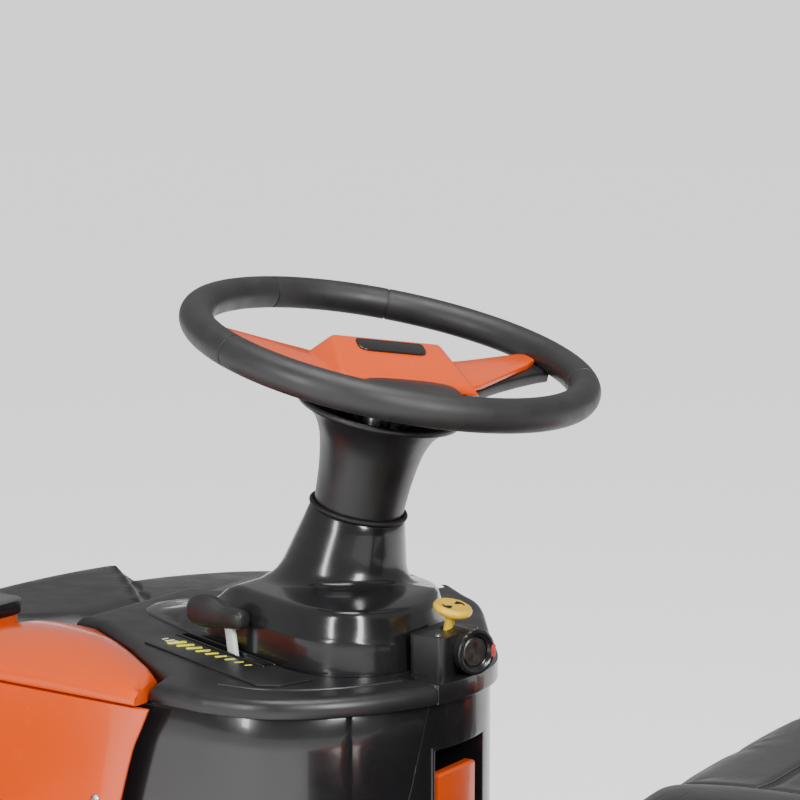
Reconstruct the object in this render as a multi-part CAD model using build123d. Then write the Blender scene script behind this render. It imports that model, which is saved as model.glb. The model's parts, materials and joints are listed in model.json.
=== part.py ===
from build123d import *
import os
from math import atan2, cos, degrees, hypot, pi, radians, sin

os.makedirs("parts", exist_ok=True)

# ---------------------------------------------------------------- driving sizes, millimetres
# The machine stands on z = 0, its front is +X and its left side is +Y.
HALF_LENGTH = 750.0          # origin to the foremost and rearmost points
GAP = 0.3                    # clearance between neighbours that only lie close
RUN = 0.05                   # radial clearance of a shaft in its bearing
PANEL = 6.0                  # wall of the moulded bodywork
SHEET = 4.0                  # wall of sheet-steel pieces

# steering wheel and column
WHEEL_X, WHEEL_Z = 150.0, 955.0
COLUMN_TILT = 13.8           # column leans back from the vertical, degrees
WHEEL_TURN = -33.7           # where the wheel stands at rest, degrees
STEERING_RATIO = 3.0         # turns of the hand wheel to one turn of the fork
RIM_RADIUS, RIM_TUBE = 165.0, 14.0
SPOKE_ANGLE = 76.0           # side spokes from straight ahead
SPOKE_RISE = 6.0             # how much the spokes climb towards the rim
SHAFT_RADIUS = 12.0
COLUMN_TUBE_RADIUS = 24.0
KNUCKLE_Z = 600.0            # height of the joint between upper and lower shaft
BALL_RADIUS = 14.0
LOWER_SHAFT_RADIUS = 10.0
PITCH = 12.7                 # chain pitch
SMALL_TEETH, LARGE_TEETH = 12, 36
SPROCKET_Z, SPROCKET_THICK = 392.0, 6.0

# front wheel and fork
FORK_X = 350.0
STEM_RADIUS = 20.0
FRONT_RADIUS, FRONT_WIDTH = 125.0, 80.0
FRONT_AXLE = 10.0
LEG_THICK = 10.0
# rear wheels
REAR_X, REAR_Y = -430.0, 332.0
REAR_RADIUS, REAR_WIDTH = 150.0, 80.0
REAR_AXLE = 12.5

# chassis
RAIL_Y, RAIL_WIDTH = 215.0, 40.0
RAIL_BOTTOM, RAIL_TOP = 300.0, 340.0
FLOOR_TOP = RAIL_TOP + PANEL
STEP_HALF = 420.0            # half width of the footplate
SEAT_REAR, FLOOR_FRONT = -130.0, 440.0

# tow eye
EYE_RADIUS, EYE_LENGTH, EYE_Z = 8.5, 12.0, 309.0

# tower and deck
DECK_BOTTOM, DECK_TOP = 690.0, 706.0
TOWER_REAR, TOWER_HALF = 32.0, 224.0
NOSE_X = 178.0               # where the rounded nose runs out into the straight sides
WALL_FRONT = 284.0
LIP = 8.0                    # the deck stands out this far over the tower wall
KNEE_LEFT, KNEE_RIGHT, KNEE_FLARE = 100.0, 40.0, 0.25
CUT_X = 232.0                # the right rear of the tower is cut back to here, for the driver to step up
SEAM = 0.8

# lift lever
SLOT_ANGLE = -20.4           # direction of the slot from straight ahead
SLOT_X, SLOT_Y = 231.0, 112.0
LEVER_LEAN = 13.3
LEVER_PIVOT_Z, LEVER_TOP_Z = 540.0, 737.0
LEVER_WIDTH, LEVER_THICK = 12.0, 4.0

# main broom
BROOM_X, BROOM_Z = -95.0, 142.0
BROOM_RADIUS, BROOM_HALF = 120.0, 280.0
ARM_X, ARM_Z = 150.0, 230.0
# side brushes
SIDE_X, SIDE_Y, SIDE_RADIUS = 440.0, 345.0, 190.0
SIDE_PIVOT_X, SIDE_PIVOT_Z = 575.0, 300.0

# hopper
HOPPER_FRONT, HOPPER_REAR = -244.0, -738.0
HOPPER_HALF, HOPPER_BOTTOM, HOPPER_TOP = 244.0, 62.0, 292.0

# rear body and seat
REAR_HALF, REAR_TOP = 410.0, 585.0
SEAT_FRONT, SEAT_BACK = -142.0, -562.0
SEAT_HALF, SEAT_TOP, CUSHION = 221.0, 690.0, 90.0
HINGE_X, HINGE_Z = -150.0, 590.0
BACK_TOP = 1090.0

# front body
HOOD_REAR, HOOD_FRONT, HOOD_BOTTOM = 440.0, 742.0, 560.0
SHELL_BOTTOM = 250.0


# ---------------------------------------------------------------- shapes used again and again
def block(x0, x1, y0, y1, z0, z1):
    return Pos((x0 + x1) / 2, (y0 + y1) / 2, (z0 + z1) / 2) * Box(x1 - x0, y1 - y0, z1 - z0)


def rod_z(radius, x, y, z0, z1):
    return Pos(x, y, (z0 + z1) / 2) * Cylinder(radius, z1 - z0)


def rod_y(radius, x, z, y0, y1):
    return Pos(x, (y0 + y1) / 2, z) * Rot(90, 0, 0) * Cylinder(radius, y1 - y0)


def rod_x(radius, y, z, x0, x1):
    return Pos((x0 + x1) / 2, y, z) * Rot(0, 90, 0) * Cylinder(radius, x1 - x0)


def flat(points, radius=0.0):
    line = FilletPolyline(*points, radius=radius, close=True) if radius else Polyline(*points, close=True)
    return make_face(line)


def prism_z(face, z0, z1):
    return Pos(0, 0, z0) * extrude(face, amount=z1 - z0, dir=(0, 0, 1))


def prism_y(face, y0, y1):
    return Pos(0, y0, 0) * extrude(Plane.XZ * face, amount=y1 - y0, dir=(0, 1, 0))


def prism_x(face, x0, x1):
    return Pos(x0, 0, 0) * extrude(Plane.YZ * face, amount=x1 - x0, dir=(1, 0, 0))


def mirrored(shape):
    return mirror(shape, about=Plane.XZ)


def both(shape):
    return shape + mirrored(shape)


def ring(outer, inner, z0, z1):
    return rod_z(outer, 0, 0, z0, z1) - rod_z(inner, 0, 0, z0 - 1, z1 + 1)


def turned(points):
    """A solid of revolution about Z from (radius, height) points."""
    return revolve(Plane.XZ * flat(points), axis=Axis.Z)


nodes = {}


def keep(name, shape):
    nodes[name] = shape


def keep_pair(name, shape):
    keep(name + "_left", shape)
    keep(name + "_right", mirrored(shape))


# ---------------------------------------------------------------- frames of reference
tilt = radians(COLUMN_TILT)
column = Plane(origin=(WHEEL_X, 0, WHEEL_Z), x_dir=(cos(tilt), 0, sin(tilt)),
               z_dir=(-sin(tilt), 0, cos(tilt)))


def down(z):
    """Distance along the column, below the wheel centre, of the height z."""
    return -(WHEEL_Z - z) / cos(tilt)


def on_column(shape):
    return column.location * shape


def on_wheel(shape):
    return column.location * Rot(0, 0, WHEEL_TURN) * shape


KNUCKLE = down(KNUCKLE_Z)
LOWER_X = WHEEL_X - KNUCKLE * sin(tilt)
FORK_TURN = WHEEL_TURN / STEERING_RATIO


def on_fork(shape):
    return Pos(FORK_X, 0, 0) * Rot(0, 0, FORK_TURN) * shape


def along_slot(shape):
    """Local X runs forward along the lever's slot, local Y outward, origin where the lever passes the deck."""
    return Pos(SLOT_X, SLOT_Y, 0) * Rot(0, 0, SLOT_ANGLE) * shape


# ---------------------------------------------------------------- steering wheel
def make_steering_wheel():
    rim = Torus(RIM_RADIUS, RIM_TUBE)
    for angle in (20, 108, -20, -108):
        groove = Rot(0, 0, angle) * (Pos(RIM_RADIUS, 0, 0) * Rot(90, 0, 0)
                                     * (Cylinder(RIM_TUBE + 1, 1.2) - Cylinder(RIM_TUBE - 0.8, 1.2)))
        rim -= groove
    keep("steering_rim", on_wheel(rim))

    # hub bowl, three spokes and the ribs under them
    bowl = turned([(SHAFT_RADIUS, -46), (58, -46), (70, -36), (72, -21), (SHAFT_RADIUS, -21)])
    side = flat([(24, 30), (50, 158), (18, 160), (-42, 62), (-44, 30)], 8)
    lift = Pos(0, 0, -24) * Rot(SPOKE_RISE, 0, 0)
    spoke = lift * prism_z(side, -13, -GAP)
    near = flat([(-30, -40), (-30, 40), (-160, 26), (-160, -26)], 6)
    lower = Pos(0, 0, -22) * Rot(0, SPOKE_RISE, 0) * prism_z(near, -12, 4)
    ribs = Part()
    for k in range(18):
        ribs += Rot(0, 0, 20 * k) * block(54, 76, -1.2, 1.2, -38, -21)
    core = bowl + both(spoke) + lower + ribs
    core -= Torus(RIM_RADIUS, RIM_TUBE + 0.1)
    core -= rod_z(180, 0, 0, -60, 30) - rod_z(RIM_RADIUS, 0, 0, -60, 30)
    core -= rod_z(SHAFT_RADIUS, 0, 0, -60, 0)

    # raised pad with its two spoke covers
    low = Polyline((27, -70, -20.5), (27, 70, -20.5), (-49, 68, -20.5), (-49, -68, -20.5), close=True)
    high = Polyline((16, -50, 6), (16, 50, 6), (-46, 57, -11.5), (-46, -57, -11.5), close=True)
    pad = loft([make_face(low), make_face(high)], ruled=True)
    wing = lift * prism_z(flat([(22, 40), (46, 148), (22, 148), (-38, 62), (-40, 40)], 7), 0, 4.5)
    cover = pad + both(wing)
    cover -= rod_z(180, 0, 0, -60, 30) - rod_z(RIM_RADIUS - RIM_TUBE - 1, 0, 0, -60, 30)
    keep("hub_cover", on_wheel(cover))
    keep("steering_core", on_wheel(core - cover - pad))

    # shaft with the cup of the knuckle at its lower end
    shaft = rod_z(SHAFT_RADIUS, 0, 0, KNUCKLE + BALL_RADIUS, -24)
    cup = rod_z(BALL_RADIUS + 6, 0, 0, KNUCKLE - 5, KNUCKLE + BALL_RADIUS + 6)
    cup -= Pos(0, 0, KNUCKLE) * Sphere(BALL_RADIUS + GAP)
    keep("steering_shaft", on_column(shaft - Pos(0, 0, KNUCKLE) * Sphere(BALL_RADIUS + GAP) + cup))


def sprocket(teeth, x, bore):
    pitch_radius = PITCH / (2 * sin(pi / teeth))
    disc = rod_z(pitch_radius + 3, x, 0, SPROCKET_Z, SPROCKET_Z + SPROCKET_THICK)
    for k in range(teeth):
        turn = 2 * pi * k / teeth
        across = pitch_radius * sin(turn)
        disc -= rod_z(4, x + pitch_radius * cos(turn), across, SPROCKET_Z - 1, SPROCKET_Z + 7)
    if bore:
        disc -= rod_z(bore, x, 0, SPROCKET_Z - 1, SPROCKET_Z + 20)
    return disc


def make_steering_drive():
    shaft = rod_z(LOWER_SHAFT_RADIUS, LOWER_X, 0, RAIL_TOP - 8, KNUCKLE_Z)
    shaft += Pos(LOWER_X, 0, KNUCKLE_Z) * Sphere(BALL_RADIUS)
    keep("lower_shaft", shaft + sprocket(SMALL_TEETH, LOWER_X, 0))
    keep("fork_sprocket", sprocket(LARGE_TEETH, FORK_X, STEM_RADIUS))

    small = PITCH / (2 * sin(pi / SMALL_TEETH))
    large = PITCH / (2 * sin(pi / LARGE_TEETH))

    def loop(width):
        circles = Pos(LOWER_X, 0) * Circle(small + width), Pos(FORK_X, 0) * Circle(large + width)
        return make_hull(circles[0].edges() + circles[1].edges())

    plate = loop(4.5) - loop(-4.5)
    chain = prism_z(plate, SPROCKET_Z - 2.5, SPROCKET_Z - 0.5)
    chain += prism_z(plate, SPROCKET_Z + SPROCKET_THICK + 0.5, SPROCKET_Z + SPROCKET_THICK + 2.5)
    span = FORK_X - LOWER_X
    lean = (large - small) / span
    count = int(span * (1 - lean ** 2) ** 0.5 // PITCH) - 1
    for side in (1, -1):
        for k in range(count):
            s = PITCH * (k + 1)
            x = LOWER_X - small * lean + s * (1 - lean ** 2) ** 0.5
            y = side * (small * (1 - lean ** 2) ** 0.5 + s * lean)
            if hypot(x - LOWER_X, y) < small + 8 or hypot(x - FORK_X, y) < large + 8:
                continue
            chain += rod_z(3.5, x, y, SPROCKET_Z - 2.5, SPROCKET_Z + SPROCKET_THICK + 2.5)
    keep("steering_chain", chain)


def make_fork_and_wheel():
    crown = 262.0
    leg_inner = FRONT_WIDTH / 2 + 6
    stem = rod_z(STEM_RADIUS, 0, 0, crown, SPROCKET_Z + SPROCKET_THICK + 8)
    boss = rod_z(30, 0, 0, crown + 20, RAIL_BOTTOM - 10 - GAP)
    top = block(-30, 30, -leg_inner - LEG_THICK, leg_inner + LEG_THICK, crown, crown + 20)
    fork = stem + boss + fillet(top.edges().filter_by(Axis.Z), 12)
    for side in (1, -1):
        y0, y1 = sorted((side * leg_inner, side * (leg_inner + LEG_THICK)))
        fork += block(-25, 25, y0, y1, FRONT_RADIUS, crown) + rod_y(25, 0, FRONT_RADIUS, y0, y1)
    fork += rod_y(FRONT_AXLE, 0, FRONT_RADIUS, -leg_inner, leg_inner)
    motor = rod_y(46, 0, FRONT_RADIUS, leg_inner + LEG_THICK, leg_inner + LEG_THICK + 55)
    motor_edge = motor.edges().filter_by(GeomType.CIRCLE).group_by(Axis.Y)[-1]
    keep("front_fork", on_fork(fork + chamfer(motor_edge, 5)))
    tyre, rim = wheel(FRONT_RADIUS, FRONT_WIDTH, 78, FRONT_AXLE, FRONT_WIDTH / 2 + 5)
    keep("front_tyre", on_fork(Pos(0, 0, FRONT_RADIUS) * tyre))
    keep("front_rim", on_fork(Pos(0, 0, FRONT_RADIUS) * rim))


def wheel(radius, width, seat, axle, hub_half):
    """A tyre and its rim about the Y axis, centred on the origin."""
    half = width / 2
    section = flat([(seat, -half), (radius - 6, -half), (radius, -half + 12), (radius, half - 12),
                    (radius - 6, half), (seat, half)], 3)
    tyre = revolve(Plane.XZ * section, axis=Axis.Z)
    profile = flat([(axle + RUN, -hub_half), (axle + 14, -hub_half), (axle + 14, -6), (seat - 8, -6),
                    (seat - 8, -half), (seat, -half), (seat, half), (seat - 8, half), (seat - 8, 6),
                    (axle + 14, 6), (axle + 14, hub_half), (axle + RUN, hub_half)])
    rim = revolve(Plane.XZ * profile, axis=Axis.Z)
    middle = (axle + 14 + seat - 8) / 2
    for k in range(5):
        turn = 2 * pi * k / 5
        rim -= rod_z((seat - axle - 22) * 0.3, middle * cos(turn), middle * sin(turn), -7, 7)
    upright = Rot(90, 0, 0)
    return upright * tyre, upright * rim


def make_rear_wheels():
    tyre, rim = wheel(REAR_RADIUS, REAR_WIDTH, 95, REAR_AXLE, REAR_WIDTH / 2 + 4)
    place = Pos(REAR_X, REAR_Y, REAR_RADIUS)
    keep_pair("rear_tyre", place * tyre)
    keep_pair("rear_rim", place * rim)
    inner = REAR_Y - REAR_WIDTH / 2 - 4
    outer = REAR_Y + REAR_WIDTH / 2 + 4
    stub = rod_y(REAR_AXLE, REAR_X, REAR_RADIUS, inner - 20, outer + 8)
    stub += rod_y(REAR_AXLE + 6, REAR_X, REAR_RADIUS, inner - 6, inner - GAP)
    stub += rod_y(REAR_AXLE + 6, REAR_X, REAR_RADIUS, outer + GAP, outer + 8)
    keep("rear_axles", both(stub))


# ---------------------------------------------------------------- chassis
def make_chassis():
    y0, y1 = RAIL_Y - RAIL_WIDTH / 2, RAIL_Y + RAIL_WIDTH / 2
    wheel_in = REAR_Y - REAR_WIDTH / 2 - 4
    side = block(-700, 600, y0, y1, RAIL_BOTTOM, RAIL_TOP)
    # seat posts with their top rails
    for x in (-210, -620):
        side += block(x, x + 30, y0, y0 + 30, RAIL_TOP, REAR_TOP - PANEL - 20)
    side += block(-620, -180, y0, y0 + 30, REAR_TOP - PANEL - 20, REAR_TOP - PANEL)
    # rear wheel bracket
    side += block(REAR_X - 40, REAR_X + 40, y1, wheel_in - 10, RAIL_BOTTOM, RAIL_TOP)
    side += block(REAR_X - 40, REAR_X + 40, wheel_in - 20, wheel_in - 10, REAR_RADIUS - 40, RAIL_TOP)
    side -= rod_y(REAR_AXLE, REAR_X, REAR_RADIUS, wheel_in - 25, wheel_in + 5)
    # hopper runner
    side += block(-690, -250, y1 - 4, 268, RAIL_BOTTOM, RAIL_BOTTOM + SHEET)
    side += block(-690, -250, 264, 268, 274, RAIL_BOTTOM)
    side += block(-690, -250, 248, 264, 274, 278)
    # broom arm bracket with its pin
    side += block(ARM_X - 20, ARM_X + 20, y1, 312, RAIL_BOTTOM, RAIL_TOP)
    side += block(ARM_X - 20, ARM_X + 20, 302, 312, ARM_Z - 20, RAIL_BOTTOM)
    side += rod_y(8, ARM_X, ARM_Z, 290, 302)
    # side brush bracket with its pin
    side += block(SIDE_PIVOT_X - 20, SIDE_PIVOT_X + 20, y1, y1 + 10, SIDE_PIVOT_Z - 14, RAIL_TOP)
    side += rod_y(8, SIDE_PIVOT_X, SIDE_PIVOT_Z, y1 + 10, y1 + 30)
    # tower post
    side += block(330, 360, 85, 110, RAIL_TOP, DECK_BOTTOM)
    # front shell brackets
    side += block(560, 600, y1, 440, RAIL_TOP - SHEET, RAIL_TOP)
    # side panel brackets of the rear body
    for x in (-195, -690):
        side += block(x, x + 30, y1, REAR_HALF - PANEL, RAIL_TOP - SHEET, RAIL_TOP)
    # seat hinge lugs and pin
    side += block(-180, HINGE_X + 6, y0, y0 + 8, REAR_TOP - PANEL - 20, HINGE_Z - 10)
    side += block(HINGE_X - 6, HINGE_X + 6, y0, y0 + 8, HINGE_Z - 12, HINGE_Z + 6)
    frame = both(side)
    frame += rod_y(4, HINGE_X, HINGE_Z, -y0 - 4, y0 + 4)
    for x in (-700, -240, 60, 560):
        frame += block(x, x + 40, -y0, y0, RAIL_BOTTOM, RAIL_TOP)
    # head plate with fork tube and shaft bearing
    frame += block(205, 430, -y0, y0, RAIL_TOP - 18, RAIL_TOP)
    frame += rod_z(34, FORK_X, 0, RAIL_BOTTOM - 10, SPROCKET_Z - 8)
    frame += rod_z(22, LOWER_X, 0, RAIL_TOP, RAIL_TOP + 30)
    frame -= rod_z(STEM_RADIUS + RUN, FORK_X, 0, RAIL_BOTTOM - 20, SPROCKET_Z)
    frame -= rod_z(LOWER_SHAFT_RADIUS + RUN, LOWER_X, 0, RAIL_TOP - 20, RAIL_TOP + 40)
    # column bracket
    frame += block(190, 330, -60, 60, 640, 646) + block(330, 360, -110, 110, 640, 646)
    frame -= on_column(rod_z(COLUMN_TUBE_RADIUS, 0, 0, down(600), down(680)))
    # battery floor, rear shelf and tow eye
    frame += block(-590, -200, -y0, y0, RAIL_TOP - SHEET, RAIL_TOP)
    frame += block(-700, -590, -y0, y0, RAIL_TOP - SHEET, RAIL_TOP)
    eye = block(-HALF_LENGTH, -HALF_LENGTH + EYE_LENGTH, -22, 22, EYE_Z - 13, EYE_Z + 13)
    eye += both(block(-HALF_LENGTH + EYE_LENGTH, -700, 14, 22, EYE_Z - 8, EYE_Z + 12))
    frame += eye - rod_x(EYE_RADIUS, 0, EYE_Z, -HALF_LENGTH - 1, -HALF_LENGTH + EYE_LENGTH + 1)
    keep("chassis_frame", frame)


# ---------------------------------------------------------------- tower, deck and column covers
def nose_line(inset=0.0):
    """The rounded rear outline of the tower, drawn in by the inset on all sides."""
    deep, wide = NOSE_X - TOWER_REAR, TOWER_HALF
    left = [(NOSE_X, wide), (135, 216), (102, 197), (68, 161), (40, 108), (TOWER_REAR, 52)]
    right = [(38, 14), (70, -38), (115, -102), (165, -170), (CUT_X, -wide)]
    line = [(x + (NOSE_X - x) * inset / deep, y * (wide - inset) / wide) for x, y in left + right]
    round_part = Spline(*line[:-1], tangents=((-1, 0), (0.6, -0.8)))
    return round_part + Line(*line[-2:])


def cut_end(inset):
    """Where the rear outline meets the straight right side."""
    return CUT_X + (NOSE_X - CUT_X) * inset / (NOSE_X - TOWER_REAR)


def deck_face():
    front = [(242, 189), (335, 123), (405, 82), (434, 80)]
    left = [(NOSE_X, TOWER_HALF), (230, 222)]
    line = Polyline(*left, *front, *[(x, -y) for x, y in reversed(front)], (CUT_X, -TOWER_HALF))
    return make_face(nose_line() + line)


def tower_face(inset):
    half = TOWER_HALF - inset
    line = Polyline((NOSE_X, half), (WALL_FRONT, half + 3), (WALL_FRONT, -half - 3), (cut_end(inset), -half))
    return make_face(nose_line(inset) + line)


def cowl_face():
    left = [(86, 95), (108, 146), (362, 51), (408, 14)]
    right = [(408, -14), (362, -51), (225, -98), (188, -96), (92, 38)]
    return flat(left + right, 20)


def knee_wedge(extra):
    """Everything between the two slanted seams of the knee panel."""
    low = 300.0
    grow = (DECK_BOTTOM - low) * KNEE_FLARE
    left, right = KNEE_LEFT + extra, -KNEE_RIGHT - extra
    side_left = [(left, 720), (left, DECK_BOTTOM), (left + grow, low)]
    side_right = [(right - grow, low), (right, DECK_BOTTOM), (right, 720)]
    return prism_x(flat(side_left + side_right), 0, 170)


def make_tower():
    wall = prism_z(tower_face(LIP), FLOOR_TOP, DECK_BOTTOM)
    wall -= prism_z(tower_face(LIP + PANEL), FLOOR_TOP - 1, DECK_BOTTOM + 1)
    wall -= block(WALL_FRONT - 8, WALL_FRONT + 1, -180, 180, 300, 800)
    deck = prism_z(deck_face(), DECK_BOTTOM, DECK_TOP)
    cap_zone = knee_wedge(0) - block(78, 200, -300, 300, DECK_BOTTOM - 1, 800)
    lip = deck & (cap_zone & block(0, 78, -KNEE_RIGHT, KNEE_LEFT, DECK_BOTTOM, 720))
    knee_wall = wall & knee_wedge(0)

    # pocket for the release paddle
    pocket = block(40, 100, 23, 98, 492, 653)
    knee = knee_wall + (pocket & block(44, 100, 0, 120, 480, 660)) + lip
    knee -= block(0, 97, 26, 95, 495, 650)
    keep("knee_panel", knee)

    zone = knee_wedge(SEAM)
    rest = wall - zone
    keep("tower_wall_left", rest & block(0, 400, 0, 400, 300, 800))
    keep("tower_wall_right", rest & block(0, 400, -400, 0, 300, 800))

    plate = deck - block(0, 78 + SEAM, -KNEE_RIGHT - SEAM, KNEE_LEFT + SEAM, 600, 720)
    plate -= on_column(rod_z(34, 0, 0, down(650), down(740)))
    plate -= along_slot(block(-52, 84, -4, 4, 600, 720))
    # hanging ear that carries the lever's pin
    ear = block(-62, 2, 4, 10, LEVER_PIVOT_Z - 14, DECK_BOTTOM)
    plate += along_slot(ear + rod_y(5, lever_offset(), LEVER_PIVOT_Z, -5, 6))
    keep("deck", plate)


def lever_offset():
    return -(699.0 - LEVER_PIVOT_Z) * sin(radians(LEVER_LEAN)) / cos(radians(LEVER_LEAN))


def make_column_covers():
    # cowl: a cone round the column on a teardrop base whose tail falls to the deck
    top = [(60, 690), (60, 744), (98, 757), (262, 757), (288, 733), (347, 717), (412, 698)]
    low = [(x, z - 4) for x, z in top]
    base = prism_z(cowl_face(), DECK_TOP, 770) & prism_y(flat(top), -200, 200)
    hollow = prism_z(offset(cowl_face(), amount=-4), DECK_TOP - 1, 770) & prism_y(flat(low), -200, 200)
    foot, head = down(740), -143.0
    growth = 15.0 / 63.0
    outer = on_column(turned([(0, foot), (41 + (head - foot) * growth, foot), (41, head), (0, head)]))
    wide = 37 + (head - foot + 9) * growth
    inner = on_column(turned([(0, foot - 9), (wide, foot - 9), (37, head + 1), (0, head + 1)]))
    keep("column_cowl", (base + outer) - hollow - (inner & block(0, 400, -200, 200, DECK_TOP, 900)))
    keep("column_seal", on_column(ring(41.6, 36, head + GAP, head + 4)))
    profile = [(39, head + 4.3), (39.5, -127), (43, -94), (46, -76), (55, -63), (70, -54), (70, -48),
               (66, -48), (66, -51), (52, -59), (42.5, -74), (39.5, -94), (36, -127), (36, head + 4.3)]
    shroud = turned(profile)
    shroud += ring(38.5, COLUMN_TUBE_RADIUS, -112, -104)
    keep("column_shroud", on_column(shroud))
    keep("column_tube", on_column(ring(COLUMN_TUBE_RADIUS, SHAFT_RADIUS + RUN, down(632), -100)))


# switch block at the rear of the deck
CONTROL_Y, BLOCK_TOP = 50.0, 738.0
KNOB_X = 61.0
KEY_X, KEY_Z, KEY_TURN_OUT = 42.0, 724.0, 18.0


def make_deck_controls():
    # lift lever
    lean = Pos(lever_offset(), 0, LEVER_PIVOT_Z) * Rot(0, LEVER_LEAN, 0)
    length = (LEVER_TOP_Z - LEVER_PIVOT_Z) / cos(radians(LEVER_LEAN))
    bar = block(-LEVER_WIDTH / 2, LEVER_WIDTH / 2, -2, LEVER_THICK - 2, 0, length)
    bar += rod_y(11, 0, 0, -2, 2)
    bar -= rod_y(5 + RUN, 0, 0, -6, 6)
    keep("lift_lever", along_slot(lean * bar))
    grip = flat([(-10, -16), (16, -15), (46, -11), (50, 4), (44, 12), (-8, 14)], 5)
    knob = along_slot(lean * Pos(0, 0, length - 4) * Rot(0, -LEVER_LEAN, 0) * Rot(0, 0, 14)
                      * prism_y(Pos(0, 6) * grip, -8, 8))
    knob -= along_slot(lean * block(-LEVER_WIDTH / 2, LEVER_WIDTH / 2, -2, 2, 0, length))
    keep("lever_knob", knob)
    plate = prism_z(flat([(-108, -7), (92, -7), (92, 34), (80, 40), (-108, 40)], 4), DECK_TOP, DECK_TOP + 1.5)
    plate -= block(-52, 84, -4, 4, 600, 720)
    keep("scale_plate", along_slot(plate))

    # switch block, push-pull knob and key
    body = fillet(block(46, 80, CONTROL_Y - 26, CONTROL_Y + 30, DECK_TOP, BLOCK_TOP).edges().filter_by(Axis.Z), 6)
    barrel = Pos(KEY_X, CONTROL_Y, KEY_Z) * Rot(0, -90, 0) * Rot(-KEY_TURN_OUT, 0, 0)
    switch = barrel * (Pos(0, 0, -8) * Cylinder(17, 34))
    post_bore = Pos(KNOB_X, CONTROL_Y, BLOCK_TOP) * Rot(0, -COLUMN_TILT, 0)
    body += switch
    body -= post_bore * (Pos(0, 0, -10) * Cylinder(4 + RUN, 44))
    body -= barrel * (Pos(0, 0, 6) * Cylinder(12 + GAP, 8))
    keep("control_block", body)
    knob = post_bore * (Pos(0, 0, 0) * Cylinder(4, 30) + Pos(0, 0, 18) * Cylinder(15.5, 8))
    keep("parking_knob", knob)
    rotor = barrel * (Pos(0, 0, 6) * Cylinder(12, 7) + Pos(0, 0, 16) * Box(14, 2.4, 14))
    keep("key_rotor", rotor)

    # release paddle in the knee pocket
    paddle = block(43, 53, 37, 91, 512, 630)
    paddle = fillet(paddle.edges().group_by(Axis.Z)[-1], 3)
    paddle += rod_y(5, 55, 508, 26.5, 94.5) + block(50, 58, 40, 88, 508, 530)
    keep("release_paddle", paddle)


# ---------------------------------------------------------------- front body
def hood_section(x, half, edge, centre, bottom):
    top = ThreePointArc((-half, edge), (0, centre), (half, edge))
    sides = Polyline((half, edge), (half, bottom), (-half, bottom), (-half, edge))
    return Pos(x, 0, 0) * (Plane.YZ * make_face(top + sides))


def hood_solid(inset, bottom):
    rows = [(HOOD_REAR, 450, 638, 680), (520, 450, 638, 680), (600, 446, 636, 678), (680, 404, 612, 656),
            (HOOD_FRONT - inset, 310, 580, 612)]
    return loft([hood_section(x, h - inset, e - inset, c - inset, bottom) for x, h, e, c in rows])


def shell_outline(inset):
    half = [(HOOD_REAR, 450 - inset), (520, 450 - inset), (600, 446 - inset), (680, 404 - inset),
            (HOOD_FRONT - inset, 310 - inset)]
    left = Spline(*half)
    right = Spline(*[(x, -y) for x, y in reversed(half)])
    front = Line(half[-1], (half[-1][0], -half[-1][1]))
    back = Line((half[0][0], -half[0][1]), half[0])
    return make_face(left + front + right + back)


def make_front_body():
    filler = block(456, 640, 120, 330, 610, 716)
    filler = fillet(filler.edges().filter_by(Axis.Z), 18) - block(464, 632, 128, 322, 620, 720)
    wedge_rows = [(HOOD_REAR, 18, 688, 699), (600, 166, 674, 697), (690, 190, 640, 664)]
    wedge = loft([hood_section(x, h, e, c, 630) for x, h, e, c in wedge_rows], ruled=True)
    hood = hood_solid(0, HOOD_BOTTOM) + wedge
    hood -= hood_solid(PANEL, HOOD_BOTTOM - 1) & block(HOOD_REAR + PANEL, 760, -500, 500, 500, 800)
    hood -= block(456 - GAP, 640 + GAP, 120 - GAP, 330 + GAP, 500, 800)
    keep("hood_cover", hood)

    skin = prism_z(shell_outline(0), SHELL_BOTTOM, HOOD_BOTTOM - GAP)
    inside = prism_z(shell_outline(PANEL), SHELL_BOTTOM - 1, HOOD_BOTTOM)
    skin -= inside & block(HOOD_REAR - 1, 760, -500, 500, 0, 900)
    skin -= block(0, HOOD_REAR + 1, -240, 240, 0, 900)
    bulk = block(HOOD_REAR, HOOD_REAR + PANEL, 246, 444, FLOOR_TOP, HOOD_BOTTOM - GAP)
    strip = block(HOOD_REAR - 4, HOOD_REAR - GAP, -78, 78, 670, 697)
    lamp_hole = rod_x(52, 215, 470, HOOD_FRONT - 40, HOOD_FRONT + 20)
    skin -= both(lamp_hole)
    keep("front_shell", skin + both(bulk) + strip)
    pan = both(rod_x(60, 215, 470, HOOD_FRONT - PANEL - 34, HOOD_FRONT - PANEL)
               - rod_x(50, 215, 470, HOOD_FRONT - PANEL - 30, HOOD_FRONT + 1))
    lens = rod_x(51, 215, 470, HOOD_FRONT - PANEL, HOOD_FRONT + 4)
    lens -= rod_x(47, 215, 470, HOOD_FRONT - PANEL - 1, HOOD_FRONT + 1)
    keep("headlamps", pan + both(lens))
    bumper = flat([(HOOD_FRONT, -290), (HALF_LENGTH, -270), (HALF_LENGTH, 270), (HOOD_FRONT, 290)])
    keep("front_bumper", prism_z(bumper, 262, 330))
    keep("water_tank_filler", filler + both_lugs())
    lid = fillet(block(454, 634, 118, 332, 716 + GAP, 728).edges().filter_by(Axis.Z), 18)
    lid += block(632, 648, 182, 268, 718, 728) + rod_y(5.5, 648, 722, 182, 268)
    lid -= rod_y(2.5 + RUN, 648, 722, 170, 280)
    keep("filler_cap", lid)


def both_lugs():
    lugs = block(639, 653, 172, 180, 700, 728) + block(639, 653, 270, 278, 700, 728)
    return lugs + rod_y(2.5, 648, 722, 172, 278)


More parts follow.
